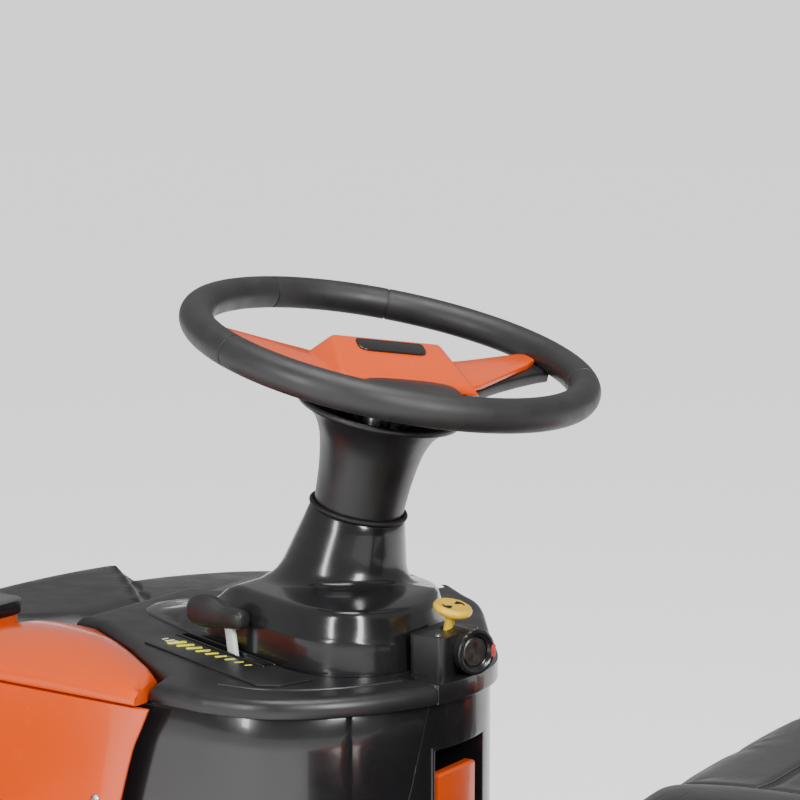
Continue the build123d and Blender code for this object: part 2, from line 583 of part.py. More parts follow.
def fender_section(x, inner, crest_y, crest_z, shoulder_z, foot):
    outer = 238.0
    top = Spline((inner, foot), (crest_y, crest_z), (outer, shoulder_z))
    sides = Polyline((outer, shoulder_z), (outer, 690), (inner, 690), (inner, foot))
    return Pos(x, 0, 0) * (Plane.YZ * make_face(top + sides))


RIGHT_CREST = 696.0          # the right fender stays low, so that the driver can step up beside it


def make_fenders():
    rows = [(233, 226, 231, 703, 701), (244, 195, 214, 712, 703), (262, 180, 204, 717, 704),
            (335, 127, 176, 727, 706), (405, 86, 172, 725, 704), (434, 84, 170, 722, 700)]
    top = loft([fender_section(*row, 700) for row in rows], ruled=True)
    flatter = [(x, inner, crest, RIGHT_CREST, RIGHT_CREST - 2, 693) for x, inner, crest, _, _ in rows]
    low = loft([fender_section(*row) for row in flatter], ruled=True)
    rear_edge = [(222, 690), (240, 651), (253, 608), (276, 520), (300, 420), (314, FLOOR_TOP)]
    panel_side = flat(rear_edge + [(HOOD_REAR, FLOOR_TOP), (HOOD_REAR, 690)])
    panel = prism_y(panel_side, 232, 238)
    keep("fender_left", top)
    keep("fender_right", mirrored(low))
    keep_pair("side_panel", panel - block(0, 500, 0, 500, 690 - SEAM, 800))


# ---------------------------------------------------------------- floor and pedals
PEDAL_X, PEDAL_Z, PEDAL_Y, PEDAL_RISE = 322.0, FLOOR_TOP + 14, 320.0, 38.0


def make_floor():
    plate = block(SEAT_REAR, FLOOR_FRONT, -STEP_HALF, STEP_HALF, RAIL_TOP, FLOOR_TOP)
    plate = fillet(plate.edges().filter_by(Axis.Z), 20)
    plate -= block(200, 440.5, -150, 150, 300, 400)
    skirt = block(SEAT_REAR, FLOOR_FRONT - 20, STEP_HALF - PANEL, STEP_HALF, 190, RAIL_TOP)
    plate += both(skirt)
    plate += block(-60, -40, 240, 400, RAIL_TOP - 2, RAIL_TOP)
    for y in (PEDAL_Y, -PEDAL_Y):
        for side in (-1, 1):
            lug_y = y + side * 48
            plate += block(PEDAL_X - 9, PEDAL_X + 9, lug_y - 4, lug_y + 4, FLOOR_TOP, PEDAL_Z + 8)
        plate += rod_y(4, PEDAL_X, PEDAL_Z, y - 48, y + 48)
    keep("footplate", plate)
    for name, y in (("brake_pedal", PEDAL_Y), ("accelerator_pedal", -PEDAL_Y)):
        pad = block(2, 112, -40, 40, -3, 4)
        pad = fillet(pad.edges().filter_by(Axis.Z), 8)
        pad += rod_y(8, 0, 0, -43, 43)
        pad -= rod_y(4 + RUN, 0, 0, -60, 60)
        keep(name, Pos(PEDAL_X, y, PEDAL_Z) * Rot(0, -PEDAL_RISE, 0) * pad)


# ---------------------------------------------------------------- broom and side brushes
def make_broom():
    reach = 300.0
    length = hypot(ARM_X - BROOM_X, ARM_Z - BROOM_Z)
    slope = degrees(atan2(ARM_Z - BROOM_Z, ARM_X - BROOM_X))
    local = Pos(ARM_X, 0, ARM_Z) * Rot(0, -slope, 0)
    arm = block(-length, 0, reach - 8, reach, -16, 16) + rod_y(20, 0, 0, reach - 8, reach)
    arm += rod_y(22, -length, 0, reach - 8, reach)
    arm -= rod_y(8 + RUN, 0, 0, 280, 310) + rod_y(12 + RUN, -length, 0, 280, 310)
    arms = local * (both(arm) + rod_y(11, -48, 8, -reach + 4, reach - 4))
    keep("broom_arms", arms)
    core = rod_y(40, BROOM_X, BROOM_Z, -BROOM_HALF, BROOM_HALF) + rod_y(12, BROOM_X, BROOM_Z, -reach, reach)
    tuft = ring(BROOM_RADIUS, 40, -BROOM_HALF, BROOM_HALF)
    for k in range(12):
        tuft -= Rot(0, 0, 30 * k) * block(70, 130, -9, 9, -BROOM_HALF - 1, BROOM_HALF + 1)
    keep("main_broom", core + Pos(BROOM_X, 0, BROOM_Z) * Rot(90, 0, 0) * tuft)
    outer = flat([(-232, 60), (-232, RAIL_BOTTOM), (48, RAIL_BOTTOM), (48, 60)])
    shell = prism_y(outer, -288, 288)
    top = shell.edges().filter_by(Axis.Y).group_by(Axis.Z)[-1]
    shell = fillet(top, 60)
    hollow = RAIL_BOTTOM - SHEET
    inner = prism_y(flat([(-228, 50), (-228, hollow), (44, hollow), (44, 50)]), -290, 290)
    inner = fillet(inner.edges().filter_by(Axis.Y).group_by(Axis.Z)[-1], 56)
    mouth = block(-240, -220, -240, 240, 120, 240)
    keep("brush_housing", shell - inner - mouth)


def make_side_brushes():
    arm = rod_y(18, SIDE_PIVOT_X, SIDE_PIVOT_Z, 246, 262)
    bar = flat([(SIDE_PIVOT_X - 8, 246), (SIDE_PIVOT_X + 8, 246), (SIDE_PIVOT_X + 8, 262), (SIDE_X + 20, SIDE_Y + 30),
                (SIDE_X - 30, SIDE_Y + 10), (SIDE_X - 20, SIDE_Y - 30)])
    arm += prism_z(bar, SIDE_PIVOT_Z - 12, SIDE_PIVOT_Z)
    arm -= rod_y(8 + RUN, SIDE_PIVOT_X, SIDE_PIVOT_Z, 240, 270)
    motor = rod_z(45, SIDE_X, SIDE_Y, 180, SIDE_PIVOT_Z - 12) + rod_z(12, SIDE_X, SIDE_Y, 98, 182)
    arm += motor
    keep_pair("side_arm", arm)
    disc = turned([(12 + RUN, 96), (70, 96), (70, 106), (26, 112), (26, 140), (12 + RUN, 140)])
    skirt = turned([(20, 96), (70, 96), (SIDE_RADIUS, 18), (SIDE_RADIUS - 10, 10), (120, 20), (30, 78)])
    for k in range(12):
        skirt -= Rot(0, 0, 30 * k) * block(80, 220, -7, 7, -10, 150)
    keep_pair("side_brush", Pos(SIDE_X, SIDE_Y, 0) * (disc + skirt))


# ---------------------------------------------------------------- rear body, seat and hopper
def make_rear_body():
    section = flat([(242, REAR_TOP), (REAR_HALF, REAR_TOP), (REAR_HALF, 160), (REAR_HALF - PANEL, 160),
                    (REAR_HALF - PANEL, REAR_TOP - PANEL), (242, REAR_TOP - PANEL)])
    solid = prism_x(section, -HALF_LENGTH + 10, SEAT_REAR - 2)
    solid -= rod_y(REAR_RADIUS + 26, REAR_X, REAR_RADIUS, 380, 420)
    keep_pair("rear_cover", solid)
    back = block(-746, -740, -REAR_HALF, REAR_HALF, 324, REAR_TOP)
    back = fillet(back.edges().filter_by(Axis.X), 20)
    back += block(-740, -632, -242 + GAP, 242 - GAP, REAR_TOP - PANEL, REAR_TOP)
    keep("rear_cover_back", back)
    riser = block(SEAT_REAR - 8, SEAT_REAR - 2 - GAP, -REAR_HALF + PANEL, REAR_HALF - PANEL, FLOOR_TOP, 560)
    keep("seat_riser", riser)
    packs = Part()
    for x in (-570, -405):
        for y in (-186, 6):
            packs += fillet(block(x, x + 155, y, y + 180, RAIL_TOP, 545).edges().filter_by(Axis.Z), 8)
    keep("batteries", packs)


def make_seat():
    pan = block(SEAT_BACK - 30, HINGE_X + 2, -190, 190, REAR_TOP + 3, REAR_TOP + 15)
    pan = fillet(pan.edges().filter_by(Axis.Z), 16)
    pan += rod_y(8, HINGE_X, HINGE_Z, -y_hinge(), y_hinge())
    hold = Pos(SEAT_BACK - 2, 0, 612) * Rot(0, -8, 0)
    pan += hold * both(block(-26, -12 - GAP, 130, 170, -24, 150))
    pan -= rod_y(4 + RUN, HINGE_X, HINGE_Z, -300, 300)
    feet = both(block(-600, -560, 186, 220, REAR_TOP - PANEL + GAP, REAR_TOP + 15))
    keep("seat_pan", pan + feet)
    cushion = block(SEAT_BACK, SEAT_FRONT, -SEAT_HALF, SEAT_HALF, SEAT_TOP - CUSHION + 0.4, SEAT_TOP)
    cushion = fillet(cushion.edges().filter_by(Axis.Z), 60)
    keep("seat_cushion", fillet(cushion.edges().group_by(Axis.Z)[-1], 30))
    back = hold * block(-12, 68, -SEAT_HALF + 10, SEAT_HALF - 10, 84, BACK_TOP - 612)
    keep("seat_back", back)


def y_hinge():
    return RAIL_Y - RAIL_WIDTH / 2 - GAP


def make_hopper():
    box = block(HOPPER_REAR, HOPPER_FRONT, -HOPPER_HALF, HOPPER_HALF, HOPPER_BOTTOM, HOPPER_TOP)
    box = fillet(box.edges().filter_by(Axis.Z), 16)
    box -= block(HOPPER_REAR + PANEL, HOPPER_FRONT - PANEL, -HOPPER_HALF + PANEL, HOPPER_HALF - PANEL,
                 HOPPER_BOTTOM + PANEL, 400)
    box -= block(HOPPER_FRONT - 30, HOPPER_FRONT + 1, -HOPPER_HALF + 20, HOPPER_HALF - 20, 150, 400)
    lips = both(block(-690, -260, HOPPER_HALF - 2, 262, 278 + GAP, 285))
    grip = block(HOPPER_REAR - 10, HOPPER_REAR, -110, 110, 200, 240)
    grip -= block(HOPPER_REAR - 6, HOPPER_REAR, -100, 100, 206, 240)
    keep("hopper", box + lips + grip)


make_steering_wheel()
make_steering_drive()
make_fork_and_wheel()
make_rear_wheels()
make_chassis()
make_tower()
make_column_covers()
make_deck_controls()
make_front_body()
make_fenders()
make_floor()
make_broom()
make_side_brushes()
make_rear_body()
make_seat()
make_hopper()

for name, shape in nodes.items():
    export_step(shape, f"parts/{name}.step")
print(len(nodes), "nodes")
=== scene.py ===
"""Looks of a ride-on floor sweeper, built round its fixed frame.

All lengths in this file are millimetres unless a name or comment says otherwise. Meshes are written in the
machine's own frame (+X to the front, +Y to the driver's left, +Z up) and scaled to metres when they are
made.
"""
import json
import logging
import math
import random
from dataclasses import dataclass, field
from enum import Enum
from math import acos, atan, atan2, cos, exp, hypot, pi, radians, sin, tan
from typing import Callable, Iterable, Sequence

import bmesh
import bpy
from mathutils import Matrix, Vector
from mathutils.bvhtree import BVHTree


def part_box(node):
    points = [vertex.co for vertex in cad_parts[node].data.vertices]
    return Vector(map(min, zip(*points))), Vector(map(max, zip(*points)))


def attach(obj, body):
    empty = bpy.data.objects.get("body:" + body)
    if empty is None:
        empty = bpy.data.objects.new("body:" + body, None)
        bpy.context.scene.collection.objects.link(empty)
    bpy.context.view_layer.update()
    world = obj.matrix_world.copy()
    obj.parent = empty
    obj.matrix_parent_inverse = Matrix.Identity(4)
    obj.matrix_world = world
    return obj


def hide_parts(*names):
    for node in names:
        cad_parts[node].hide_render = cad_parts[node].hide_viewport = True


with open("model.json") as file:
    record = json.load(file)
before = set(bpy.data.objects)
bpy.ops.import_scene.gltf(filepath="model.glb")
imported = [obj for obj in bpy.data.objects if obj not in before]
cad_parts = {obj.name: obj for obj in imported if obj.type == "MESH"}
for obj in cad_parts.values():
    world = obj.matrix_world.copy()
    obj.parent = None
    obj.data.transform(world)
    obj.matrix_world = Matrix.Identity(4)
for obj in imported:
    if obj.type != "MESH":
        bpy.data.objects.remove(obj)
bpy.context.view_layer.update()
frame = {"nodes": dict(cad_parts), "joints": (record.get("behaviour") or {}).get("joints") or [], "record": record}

log = logging.getLogger("sweeper")
MM = 0.001
Point = tuple[float, float, float]
Pair = tuple[float, float]
Colour = tuple[float, float, float]
Piece = bpy.types.Object
Socket = bpy.types.NodeSocket


# ---- shader trees
class Shader:
    """A short hand for building one material's nodes."""

    def __init__(self, name: str) -> None:
        """Start a material with a Principled surface.

        Args:
            name: name of the material.
        """
        self.material = bpy.data.materials.new(name)
        self.material.use_nodes = True
        self.tree = self.material.node_tree
        self.surface = self.tree.nodes["Principled BSDF"]
        coordinates = self.add("ShaderNodeTexCoord")
        self.place = coordinates.outputs["Object"]

    def add(self, kind: str, **values: object) -> bpy.types.Node:
        """Add a node and set its properties or inputs.

        Args:
            kind: Blender's node type.
            values: property names or input names with their values; spaces are written as underscores.

        Returns:
            The new node.
        """
        node = self.tree.nodes.new(kind)
        for key, value in values.items():
            if key in node.bl_rna.properties:
                setattr(node, key, value)
            else:
                node.inputs[key.replace("_", " ")].default_value = value
        return node

    def join(self, output: Socket, node: bpy.types.Node, name: str | int) -> None:
        """Link an output socket to a node's named input."""
        self.tree.links.new(output, node.inputs[name])

    def set(self, **values: object) -> None:
        """Set constants on the Principled surface's own sockets."""
        for key, value in values.items():
            self.surface.inputs[key.replace("_", " ")].default_value = value

    def noise(self, scale: float, detail: float = 3.0, stretch: Point | None = None) -> Socket:
        """A noise pattern in object space.

        Args:
            scale: repeats per metre.
            detail: octaves.
            stretch: optional scaling of the coordinates, for drawn-out patterns.

        Returns:
            The pattern's factor output.
        """
        source = self.place
        if stretch:
            mapping = self.add("ShaderNodeMapping", Scale=stretch)
            self.join(source, mapping, "Vector")
            source = mapping.outputs["Vector"]
        node = self.add("ShaderNodeTexNoise", Scale=scale, Detail=detail, Roughness=0.55)
        self.join(source, node, "Vector")
        return node.outputs["Fac"]

    def cells(self, scale: float) -> Socket:
        """A cell pattern for leather and rubber grain, as distance to the nearest cell centre."""
        node = self.add("ShaderNodeTexVoronoi", Scale=scale)
        self.join(self.place, node, "Vector")
        return node.outputs["Distance"]

    def ranged(self, source: Socket, low: float, high: float, start: float = 0.3,
               end: float = 0.7) -> Socket:
        """Map a factor from start..end to low..high and return the result."""
        node = self.add("ShaderNodeMapRange")
        for name, value in (("From Min", start), ("From Max", end), ("To Min", low), ("To Max", high)):
            node.inputs[name].default_value = value
        self.join(source, node, "Value")
        return node.outputs["Result"]

    def blend(self, factor: Socket, first: Colour, second: Colour) -> Socket:
        """Mix two colours by a factor and return the colour output."""
        node = self.add("ShaderNodeMix", data_type="RGBA")
        node.inputs[6].default_value = (*first, 1.0)
        node.inputs[7].default_value = (*second, 1.0)
        self.tree.links.new(factor, node.inputs[0])
        return node.outputs[2]

    def relief(self, height: Socket, depth: float, previous: Socket | None = None) -> Socket:
        """Bump from a height pattern.

        Args:
            height: the pattern.
            depth: how deep the relief is, in millimetres.
            previous: an earlier relief to add to.

        Returns:
            The normal output.
        """
        node = self.add("ShaderNodeBump", Strength=1.0, Distance=depth * MM)
        self.join(height, node, "Height")
        if previous:
            self.join(previous, node, "Normal")
        return node.outputs["Normal"]


def scaled(colour: Colour, factor: float) -> Colour:
    """A colour made darker or lighter by a factor."""
    return tuple(min(1.0, max(0.0, c * factor)) for c in colour)


@dataclass(frozen=True)
class Finish:
    """A surface with mottled colour, uneven gloss and a fine relief.

    Attributes:
        name: what the finish is called.
        colour: base colour.
        rough: middle roughness.
        spread: how far the roughness wanders.
        metal: metallic share.
        coat: clear coat weight.
        mottle: share by which the colour wanders.
        patch: size of the wandering patches.
        grain: size of the fine relief.
        depth: depth of the fine relief.
        cell: size of a second, cellular relief, or 0 for none.
        cell_depth: depth of that relief.
        drawn: stretch of the fine relief along X, Y and Z.
        dust: colour that settles in patches, or None.
        sheen: sheen weight.
        glow: strength of light given off.
        clear: share of light let through.
    """
    name: str
    colour: Colour
    rough: float = 0.4
    spread: float = 0.08
    metal: float = 0.0
    coat: float = 0.0
    mottle: float = 0.1
    patch: float = 60.0
    grain: float = 1.0
    depth: float = 0.02
    cell: float = 0.0
    cell_depth: float = 0.0
    drawn: Point | None = None
    dust: Colour | None = None
    sheen: float = 0.0
    glow: float = 0.0
    clear: float = 0.0

    def build(self) -> bpy.types.Material:
        """Make the material.

        Returns:
            The finished material.
        """
        shader = Shader(self.name)
        wander = shader.noise(1 / (self.patch * MM), 4.0)
        factor = shader.ranged(wander, 0.0, 1.0)
        base = shader.blend(factor, scaled(self.colour, 1 - self.mottle), scaled(self.colour,
            1 + self.mottle))
        if self.dust:
            settled = shader.ranged(shader.noise(1 / (self.patch * 0.35 * MM), 6.0), 0.0, 0.55, 0.5, 0.8)
            mix = shader.add("ShaderNodeMix", data_type="RGBA")
            mix.inputs[7].default_value = (*self.dust, 1.0)
            shader.tree.links.new(settled, mix.inputs[0])
            shader.tree.links.new(base, mix.inputs[6])
            base = mix.outputs[2]
        shader.join(base, shader.surface, "Base Color")
        gloss = shader.ranged(shader.noise(1 / (self.patch * 0.5 * MM), 5.0),
            max(0.02, self.rough - self.spread), min(1.0, self.rough + self.spread))
        shader.join(gloss, shader.surface, "Roughness")
        normal = shader.relief(shader.noise(1 / (self.grain * MM), 3.0, self.drawn), self.depth)
        if self.cell:
            normal = shader.relief(shader.cells(1 / (self.cell * MM)), self.cell_depth, normal)
        shader.join(normal, shader.surface, "Normal")
        shader.set(Metallic=self.metal, Coat_Weight=self.coat, Coat_Roughness=0.04)
        if self.sheen:
            shader.set(Sheen_Weight=self.sheen, Sheen_Roughness=0.4)
        if self.glow:
            shader.set(Emission_Color=(*self.colour, 1.0), Emission_Strength=self.glow)
        if self.clear:
            shader.set(Transmission_Weight=self.clear, IOR=1.49)
        return shader.material


class Skin(Enum):
    """Every finish on the machine."""
    ORANGE = Finish("orange_moulding", (0.72, 0.072, 0.0), 0.24, 0.05, coat=0.35, mottle=0.05, patch=160,
                    grain=5, depth=0.012)
    GLOSS = Finish("black_gloss_moulding", (0.011, 0.011, 0.012), 0.21, 0.06, coat=0.3, mottle=0.25,
                   patch=90, grain=4, depth=0.01)
    SATIN = Finish("black_satin_moulding", (0.013, 0.013, 0.014), 0.38, 0.07, mottle=0.25, patch=70,
                   grain=0.8, depth=0.03)
    GRAINED = Finish("black_grained_moulding", (0.018, 0.018, 0.019), 0.5, 0.08, mottle=0.2, patch=80,
                     cell=1.4, cell_depth=0.1, grain=0.6, depth=0.03)
    GRIP = Finish("soft_grip_rubber", (0.017, 0.017, 0.018), 0.47, 0.07, mottle=0.18, patch=40, grain=0.5,
                  depth=0.05, cell=1.1, cell_depth=0.035)
    SEAL = Finish("seal_rubber", (0.008, 0.008, 0.008), 0.6, 0.08, mottle=0.2, patch=25, grain=0.6,
                  depth=0.04)
    TYRE = Finish("solid_tyre_rubber", (0.03, 0.03, 0.031), 0.72, 0.1, mottle=0.25, patch=50, grain=0.9,
                  depth=0.12, dust=(0.16, 0.145, 0.125))
    RIM = Finish("silver_wheel_paint", (0.52, 0.53, 0.55), 0.36, 0.08, metal=0.35, mottle=0.08, patch=40,
                 grain=1.2, depth=0.02)
    FRAME = Finish("black_powder_coat", (0.022, 0.022, 0.024), 0.48, 0.08, mottle=0.2, patch=90, grain=0.9,
                   depth=0.06, dust=(0.09, 0.085, 0.078))
    STEEL = Finish("turned_steel", (0.56, 0.56, 0.57), 0.3, 0.08, metal=1.0, mottle=0.06, patch=30,
                   grain=0.7, depth=0.012, drawn=(1, 1, 0.06))
    CHAIN = Finish("oiled_steel", (0.2, 0.19, 0.18), 0.38, 0.1, metal=1.0, mottle=0.2, patch=12, grain=1.5,
                   depth=0.03)
    LEVER = Finish("light_grey_paint", (0.72, 0.76, 0.77), 0.3, 0.06, mottle=0.06, patch=20, grain=1.0,
                   depth=0.015)
    YELLOW = Finish("yellow_knob", (0.85, 0.52, 0.02), 0.34, 0.06, coat=0.2, mottle=0.08, patch=12,
                    grain=1.0, depth=0.02)
    PRINT = Finish("yellow_print", (0.82, 0.80, 0.04), 0.45, 0.06, mottle=0.1, patch=6, grain=0.8,
                   depth=0.02)
    CREAM = Finish("cream_print", (0.78, 0.74, 0.5), 0.45, 0.06, mottle=0.1, patch=6, grain=0.8, depth=0.02)
    RED = Finish("red_tag", (0.6, 0.02, 0.02), 0.35, 0.05, mottle=0.1, patch=8, grain=0.8, depth=0.02)
    BRISTLE = Finish("nylon_bristle", (0.03, 0.045, 0.09), 0.42, 0.1, mottle=0.45, patch=7, grain=0.8,
                     depth=0.02)
    VINYL = Finish("seat_vinyl", (0.014, 0.014, 0.015), 0.46, 0.07, mottle=0.2, patch=60, grain=0.6,
                   depth=0.04, cell=2.2, cell_depth=0.16, sheen=0.08)
    THREAD = Finish("seat_thread", (0.05, 0.05, 0.052), 0.7, 0.05, mottle=0.2, patch=4, grain=0.3,
                    depth=0.05)
    BATTERY = Finish("battery_case", (0.13, 0.14, 0.16), 0.5, 0.08, mottle=0.12, patch=60, grain=0.8,
                     depth=0.06)
    BIN = Finish("grey_rotomoulding", (0.07, 0.072, 0.078), 0.55, 0.1, mottle=0.15, patch=70, grain=1.6,
                 depth=0.12, dust=(0.15, 0.14, 0.125))
    CHROME = Finish("bright_plating", (0.75, 0.75, 0.76), 0.12, 0.04, metal=1.0, mottle=0.03, patch=30,
                    grain=3, depth=0.006)
    LAMP = Finish("lamp_glass", (0.95, 0.96, 0.98), 0.05, 0.02, mottle=0.02, patch=20, grain=4, depth=0.25,
                  clear=0.92)
    TAIL = Finish("red_lamp_lens", (0.45, 0.008, 0.006), 0.16, 0.04, coat=0.4, mottle=0.1, patch=10,
                  grain=3.5, depth=0.2)


class Wardrobe:
    """Builds each finish once."""

    def __init__(self) -> None:
        """Start empty."""
        self._made: dict[Skin, bpy.types.Material] = {}

    def get(self, skin: Skin) -> bpy.types.Material:
        """The material of a finish."""
        if skin not in self._made:
            self._made[skin] = skin.value.build()
        return self._made[skin]


WARDROBE = Wardrobe()
BODY_OF = {node: body for body, nodes in frame["record"]["behaviour"]["bodies"].items() for node in nodes}
SLOT_OF = {part["node"]: part["material_slot"] for part in frame["record"]["subparts"]}
JOINTS = {joint["name"]: joint for joint in frame["joints"]}
replaced: set[str] = set()


# ---- mesh tools
def piece_from(name: str, points: Iterable[Sequence[float]], faces: Sequence[Sequence[int]],
               place: Matrix | None = None, crease: float = 40.0) -> Piece:
    """Make an object from points in millimetres.

    Args:
        name: object name.
        points: vertices.
        faces: vertex numbers of each face.
        place: optional matrix in millimetres that puts the points in the machine's frame.
        crease: edges sharper than this many degrees stay sharp in the shading.

    Returns:
        The new object, at the origin, in metres, faces outward.
    """
    spots = [Vector(p) for p in points]
    if place is not None:
        spots = [place @ p for p in spots]
    mesh = bpy.data.meshes.new(name)
    mesh.from_pydata([p * MM for p in spots], [], faces)
    tidy_mesh(mesh, crease)
    piece = bpy.data.objects.new(name, mesh)
    bpy.context.scene.collection.objects.link(piece)
    return piece


def tidy_mesh(mesh: bpy.types.Mesh, crease: float) -> None:
    """Merge doubles, turn faces outward and set smooth shading with creases.

    Args:
        mesh: the mesh to tidy.
        crease: angle in degrees.
    """
    work = bmesh.new()
    work.from_mesh(mesh)
    bmesh.ops.remove_doubles(work, verts=work.verts, dist=1e-5)
    bmesh.ops.recalc_face_normals(work, faces=work.faces)
    work.to_mesh(mesh)
    work.free()
    mesh.shade_smooth()
    mesh.set_sharp_from_angle(angle=radians(crease))


def loft(name: str, rings: Sequence[Sequence[Point]], place: Matrix | None = None, closed: bool = True,
         caps: bool = True, crease: float = 40.0) -> Piece:
    """A skin through rows of points.

    Args:
        name: object name.
        rings: rows with the same number of points.
        place: optional matrix in millimetres.
        closed: True if each row joins its own start.
        caps: True to close the first and last row with a face.
        crease: shading crease angle in degrees.

    Returns:
        The new object.
    """
    count = len(rings[0])
    faces: list[tuple[int, ...]] = []
    span = count if closed else count - 1
    for row in range(len(rings) - 1):
        for k in range(span):
            a, b = row * count + k, row * count + (k + 1) % count
            faces.append((a, b, b + count, a + count))
    if caps and closed:
        faces.append(tuple(range(count)))
        faces.append(tuple((len(rings) - 1) * count + k for k in range(count)))
    return piece_from(name, [p for ring in rings for p in ring], faces, place, crease)


def revolve(name: str, profile: Sequence[Pair], place: Matrix | None = None, steps: int = 96,
            crease: float = 40.0) -> Piece:
    """A solid of revolution about local Z.

    Args:
        name: object name.
        profile: closed outline of (radius, height) points.
        place: optional matrix in millimetres.
        steps: steps round the axis.
        crease: shading crease angle in degrees.

    Returns:
        The new object.
    """
    rings = []
    for k in range(steps + 1):
        turn = 2 * pi * k / steps
        rings.append([(r * cos(turn), r * sin(turn), z) for r, z in profile])
    return loft(name, rings, place, True, False, crease)


def smooth_line(points: Sequence[Sequence[float]], per: int = 8, closed: bool = False) -> list[tuple[float,
        ...]]:
    """Points of a smooth curve through the given points.

    Args:
        points: points to pass through.
        per: steps from one point to the next.
        closed: True if the curve returns to its start.

    Returns:
        The denser list of points.
    """
    count = len(points)
    result: list[tuple[float, ...]] = []
    for i in range(count if closed else count - 1):
        ends = [points[(i + j) % count] if closed else points[min(max(i + j, 0), count - 1)] for j in (-1,
            0, 1, 2)]
        for s in range(per):
            t = s / per
            result.append(tuple(0.5 * (2 * b + (c - a) * t + (2 * a - 5 * b + 4 * c - d) * t ** 2
                + (3 * b - a - 3 * c + d) * t ** 3) for a, b, c, d in zip(*ends)))
    if not closed:
        result.append(tuple(points[-1]))
    return result


def drawn_in(outline: Sequence[Pair], distance: float) -> list[Pair]:
    """A closed outline moved inward by a distance, corner by corner.

    Args:
        outline: points anticlockwise seen from above.
        distance: how far to move in.

    Returns:
        The new outline, with as many points.
    """
    result = []
    for k, (x, y) in enumerate(outline):
        before, after = Vector(outline[k - 1]), Vector(outline[(k + 1) % len(outline)])
        here = Vector((x, y))
        first, second = (here - before).normalized(), (after - here).normalized()
        normal = (Vector((-first.y, first.x)) + Vector((-second.y, second.x)))
        normal.normalize()
        grow = max(0.35, normal.dot(Vector((-first.y, first.x))))
        moved = here + normal * distance / grow
        result.append((moved.x, moved.y))
    return result


def plate(name: str, outline: Sequence[Pair], low: float, high: float, top_round: float,
          low_round: float = 1.0, place: Matrix | None = None, steps: int = 4) -> Piece:
    """A flat plate with rounded rims.

    Args:
        name: object name.
        outline: anticlockwise outline.
        low: height of the underside.
        high: height of the top.
        top_round: radius of the upper rim.
        low_round: radius of the lower rim.
        place: optional matrix in millimetres.
        steps: steps in each round.

    Returns:
        The new object.
    """
    rings = []
    for radius, base, sign in ((low_round, low, 1), (top_round, high, -1)):
        for s in range(steps + 1):
            turn = pi / 2 * (s / steps if sign > 0 else 1 - s / steps)
            inward = radius * (1 - sin(turn))
            height = base + sign * radius * (1 - cos(turn))
            rings.append([(x, y, height) for x, y in drawn_in(outline, inward)])
    return loft(name, rings, place)


def tube(name: str, path: Sequence[Point], radius: float, sides: int = 10, closed: bool = False) -> Piece:
    """A round tube along a path.

    Args:
        name: object name.
        path: points of the centre line.
        radius: tube radius.
        sides: points round the tube.
        closed: True if the path is a loop.

    Returns:
        The new object.
    """
    spots = [Vector(p) for p in path]
    count = len(spots)
    side: Vector | None = None
    rings = []
    for k, spot in enumerate(spots):
        ahead = spots[(k + 1) % count] if closed or k < count - 1 else spot
        behind = spots[k - 1] if closed or k > 0 else spot
        heading = (ahead - behind).normalized()
        side = heading.orthogonal().normalized() if side is None else (side - heading
            * side.dot(heading)).normalized()
        other = heading.cross(side)
        rings.append([spot + (side * cos(a) + other * sin(a)) * radius for a in (2 * pi * s / sides
            for s in range(sides))])
    if closed:
        rings.append(rings[0])
    return loft(name, rings, caps=not closed)


def oval(centre: Point, half_a: float, half_b: float, along_a: Vector, along_b: Vector, power: float = 4.0,
         steps: int = 28) -> list[Point]:
    """A rounded-rectangle section.

    Args:
        centre: its middle.
        half_a: half size along the first direction.
        half_b: half size along the second direction.
        along_a: first direction.
        along_b: second direction.
        power: 2 is an ellipse, higher is squarer.
        steps: number of points.

    Returns:
        The section's points.
    """
    points = []
    for k in range(steps):
        turn = 2 * pi * k / steps
        c, s = cos(turn), sin(turn)
        a = math.copysign(abs(c) ** (2 / power), c) * half_a
        b = math.copysign(abs(s) ** (2 / power), s) * half_b
        points.append(tuple(Vector(centre) + along_a * a + along_b * b))
    return points


def box_piece(name: str, low: Point, high: Point, radius: float, place: Matrix | None = None) -> Piece:
    """A box with rounded edges between two corners."""
    corners = [(x, y, z) for z in (low[2], high[2]) for x, y in ((low[0], low[1]), (high[0], low[1]),
        (high[0], high[1]), (low[0], high[1]))]
    faces = [(0, 1, 2, 3), (4, 5, 6, 7), (0, 1, 5, 4), (1, 2, 6, 5), (2, 3, 7, 6), (3, 0, 4, 7)]
    piece = piece_from(name, corners, faces, place)
    return rounded_edges(piece, radius, 3)


def settle(piece: Piece, crease: float | None = None) -> Piece:
    """Turn a piece's modifiers into a plain mesh.

    Args:
        piece: the object.
        crease: optional shading crease angle in degrees.

    Returns:
        The same object.
    """
    graph = bpy.context.evaluated_depsgraph_get()
    graph.update()
    mesh = bpy.data.meshes.new_from_object(piece.evaluated_get(graph))
    piece.modifiers.clear()
    piece.data = mesh
    if crease is not None:
        mesh.shade_smooth()
        mesh.set_sharp_from_angle(angle=radians(crease))
    return piece


def rounded_edges(piece: Piece, radius: float, segments: int = 2, angle: float = 32.0) -> Piece:
    """Round every edge that is sharper than an angle.

    Args:
        piece: the object.
        radius: radius of the rounds.
        segments: steps in each round.
        angle: edges sharper than this many degrees are rounded.

    Returns:
        The same object with a plain mesh.
    """
    bevel = piece.modifiers.new("rounds", "BEVEL")
    bevel.width = radius * MM
    bevel.segments = segments
    bevel.limit_method = "ANGLE"
    bevel.angle_limit = radians(angle)
    bevel.miter_outer = "MITER_ARC"
    return settle(piece, 38.0)


def softened(piece: Piece, levels: int = 1) -> Piece:
    """Subdivide a piece smoothly."""
    smooth = piece.modifiers.new("smooth", "SUBSURF")
    smooth.levels = smooth.render_levels = levels
    return settle(piece, 60.0)


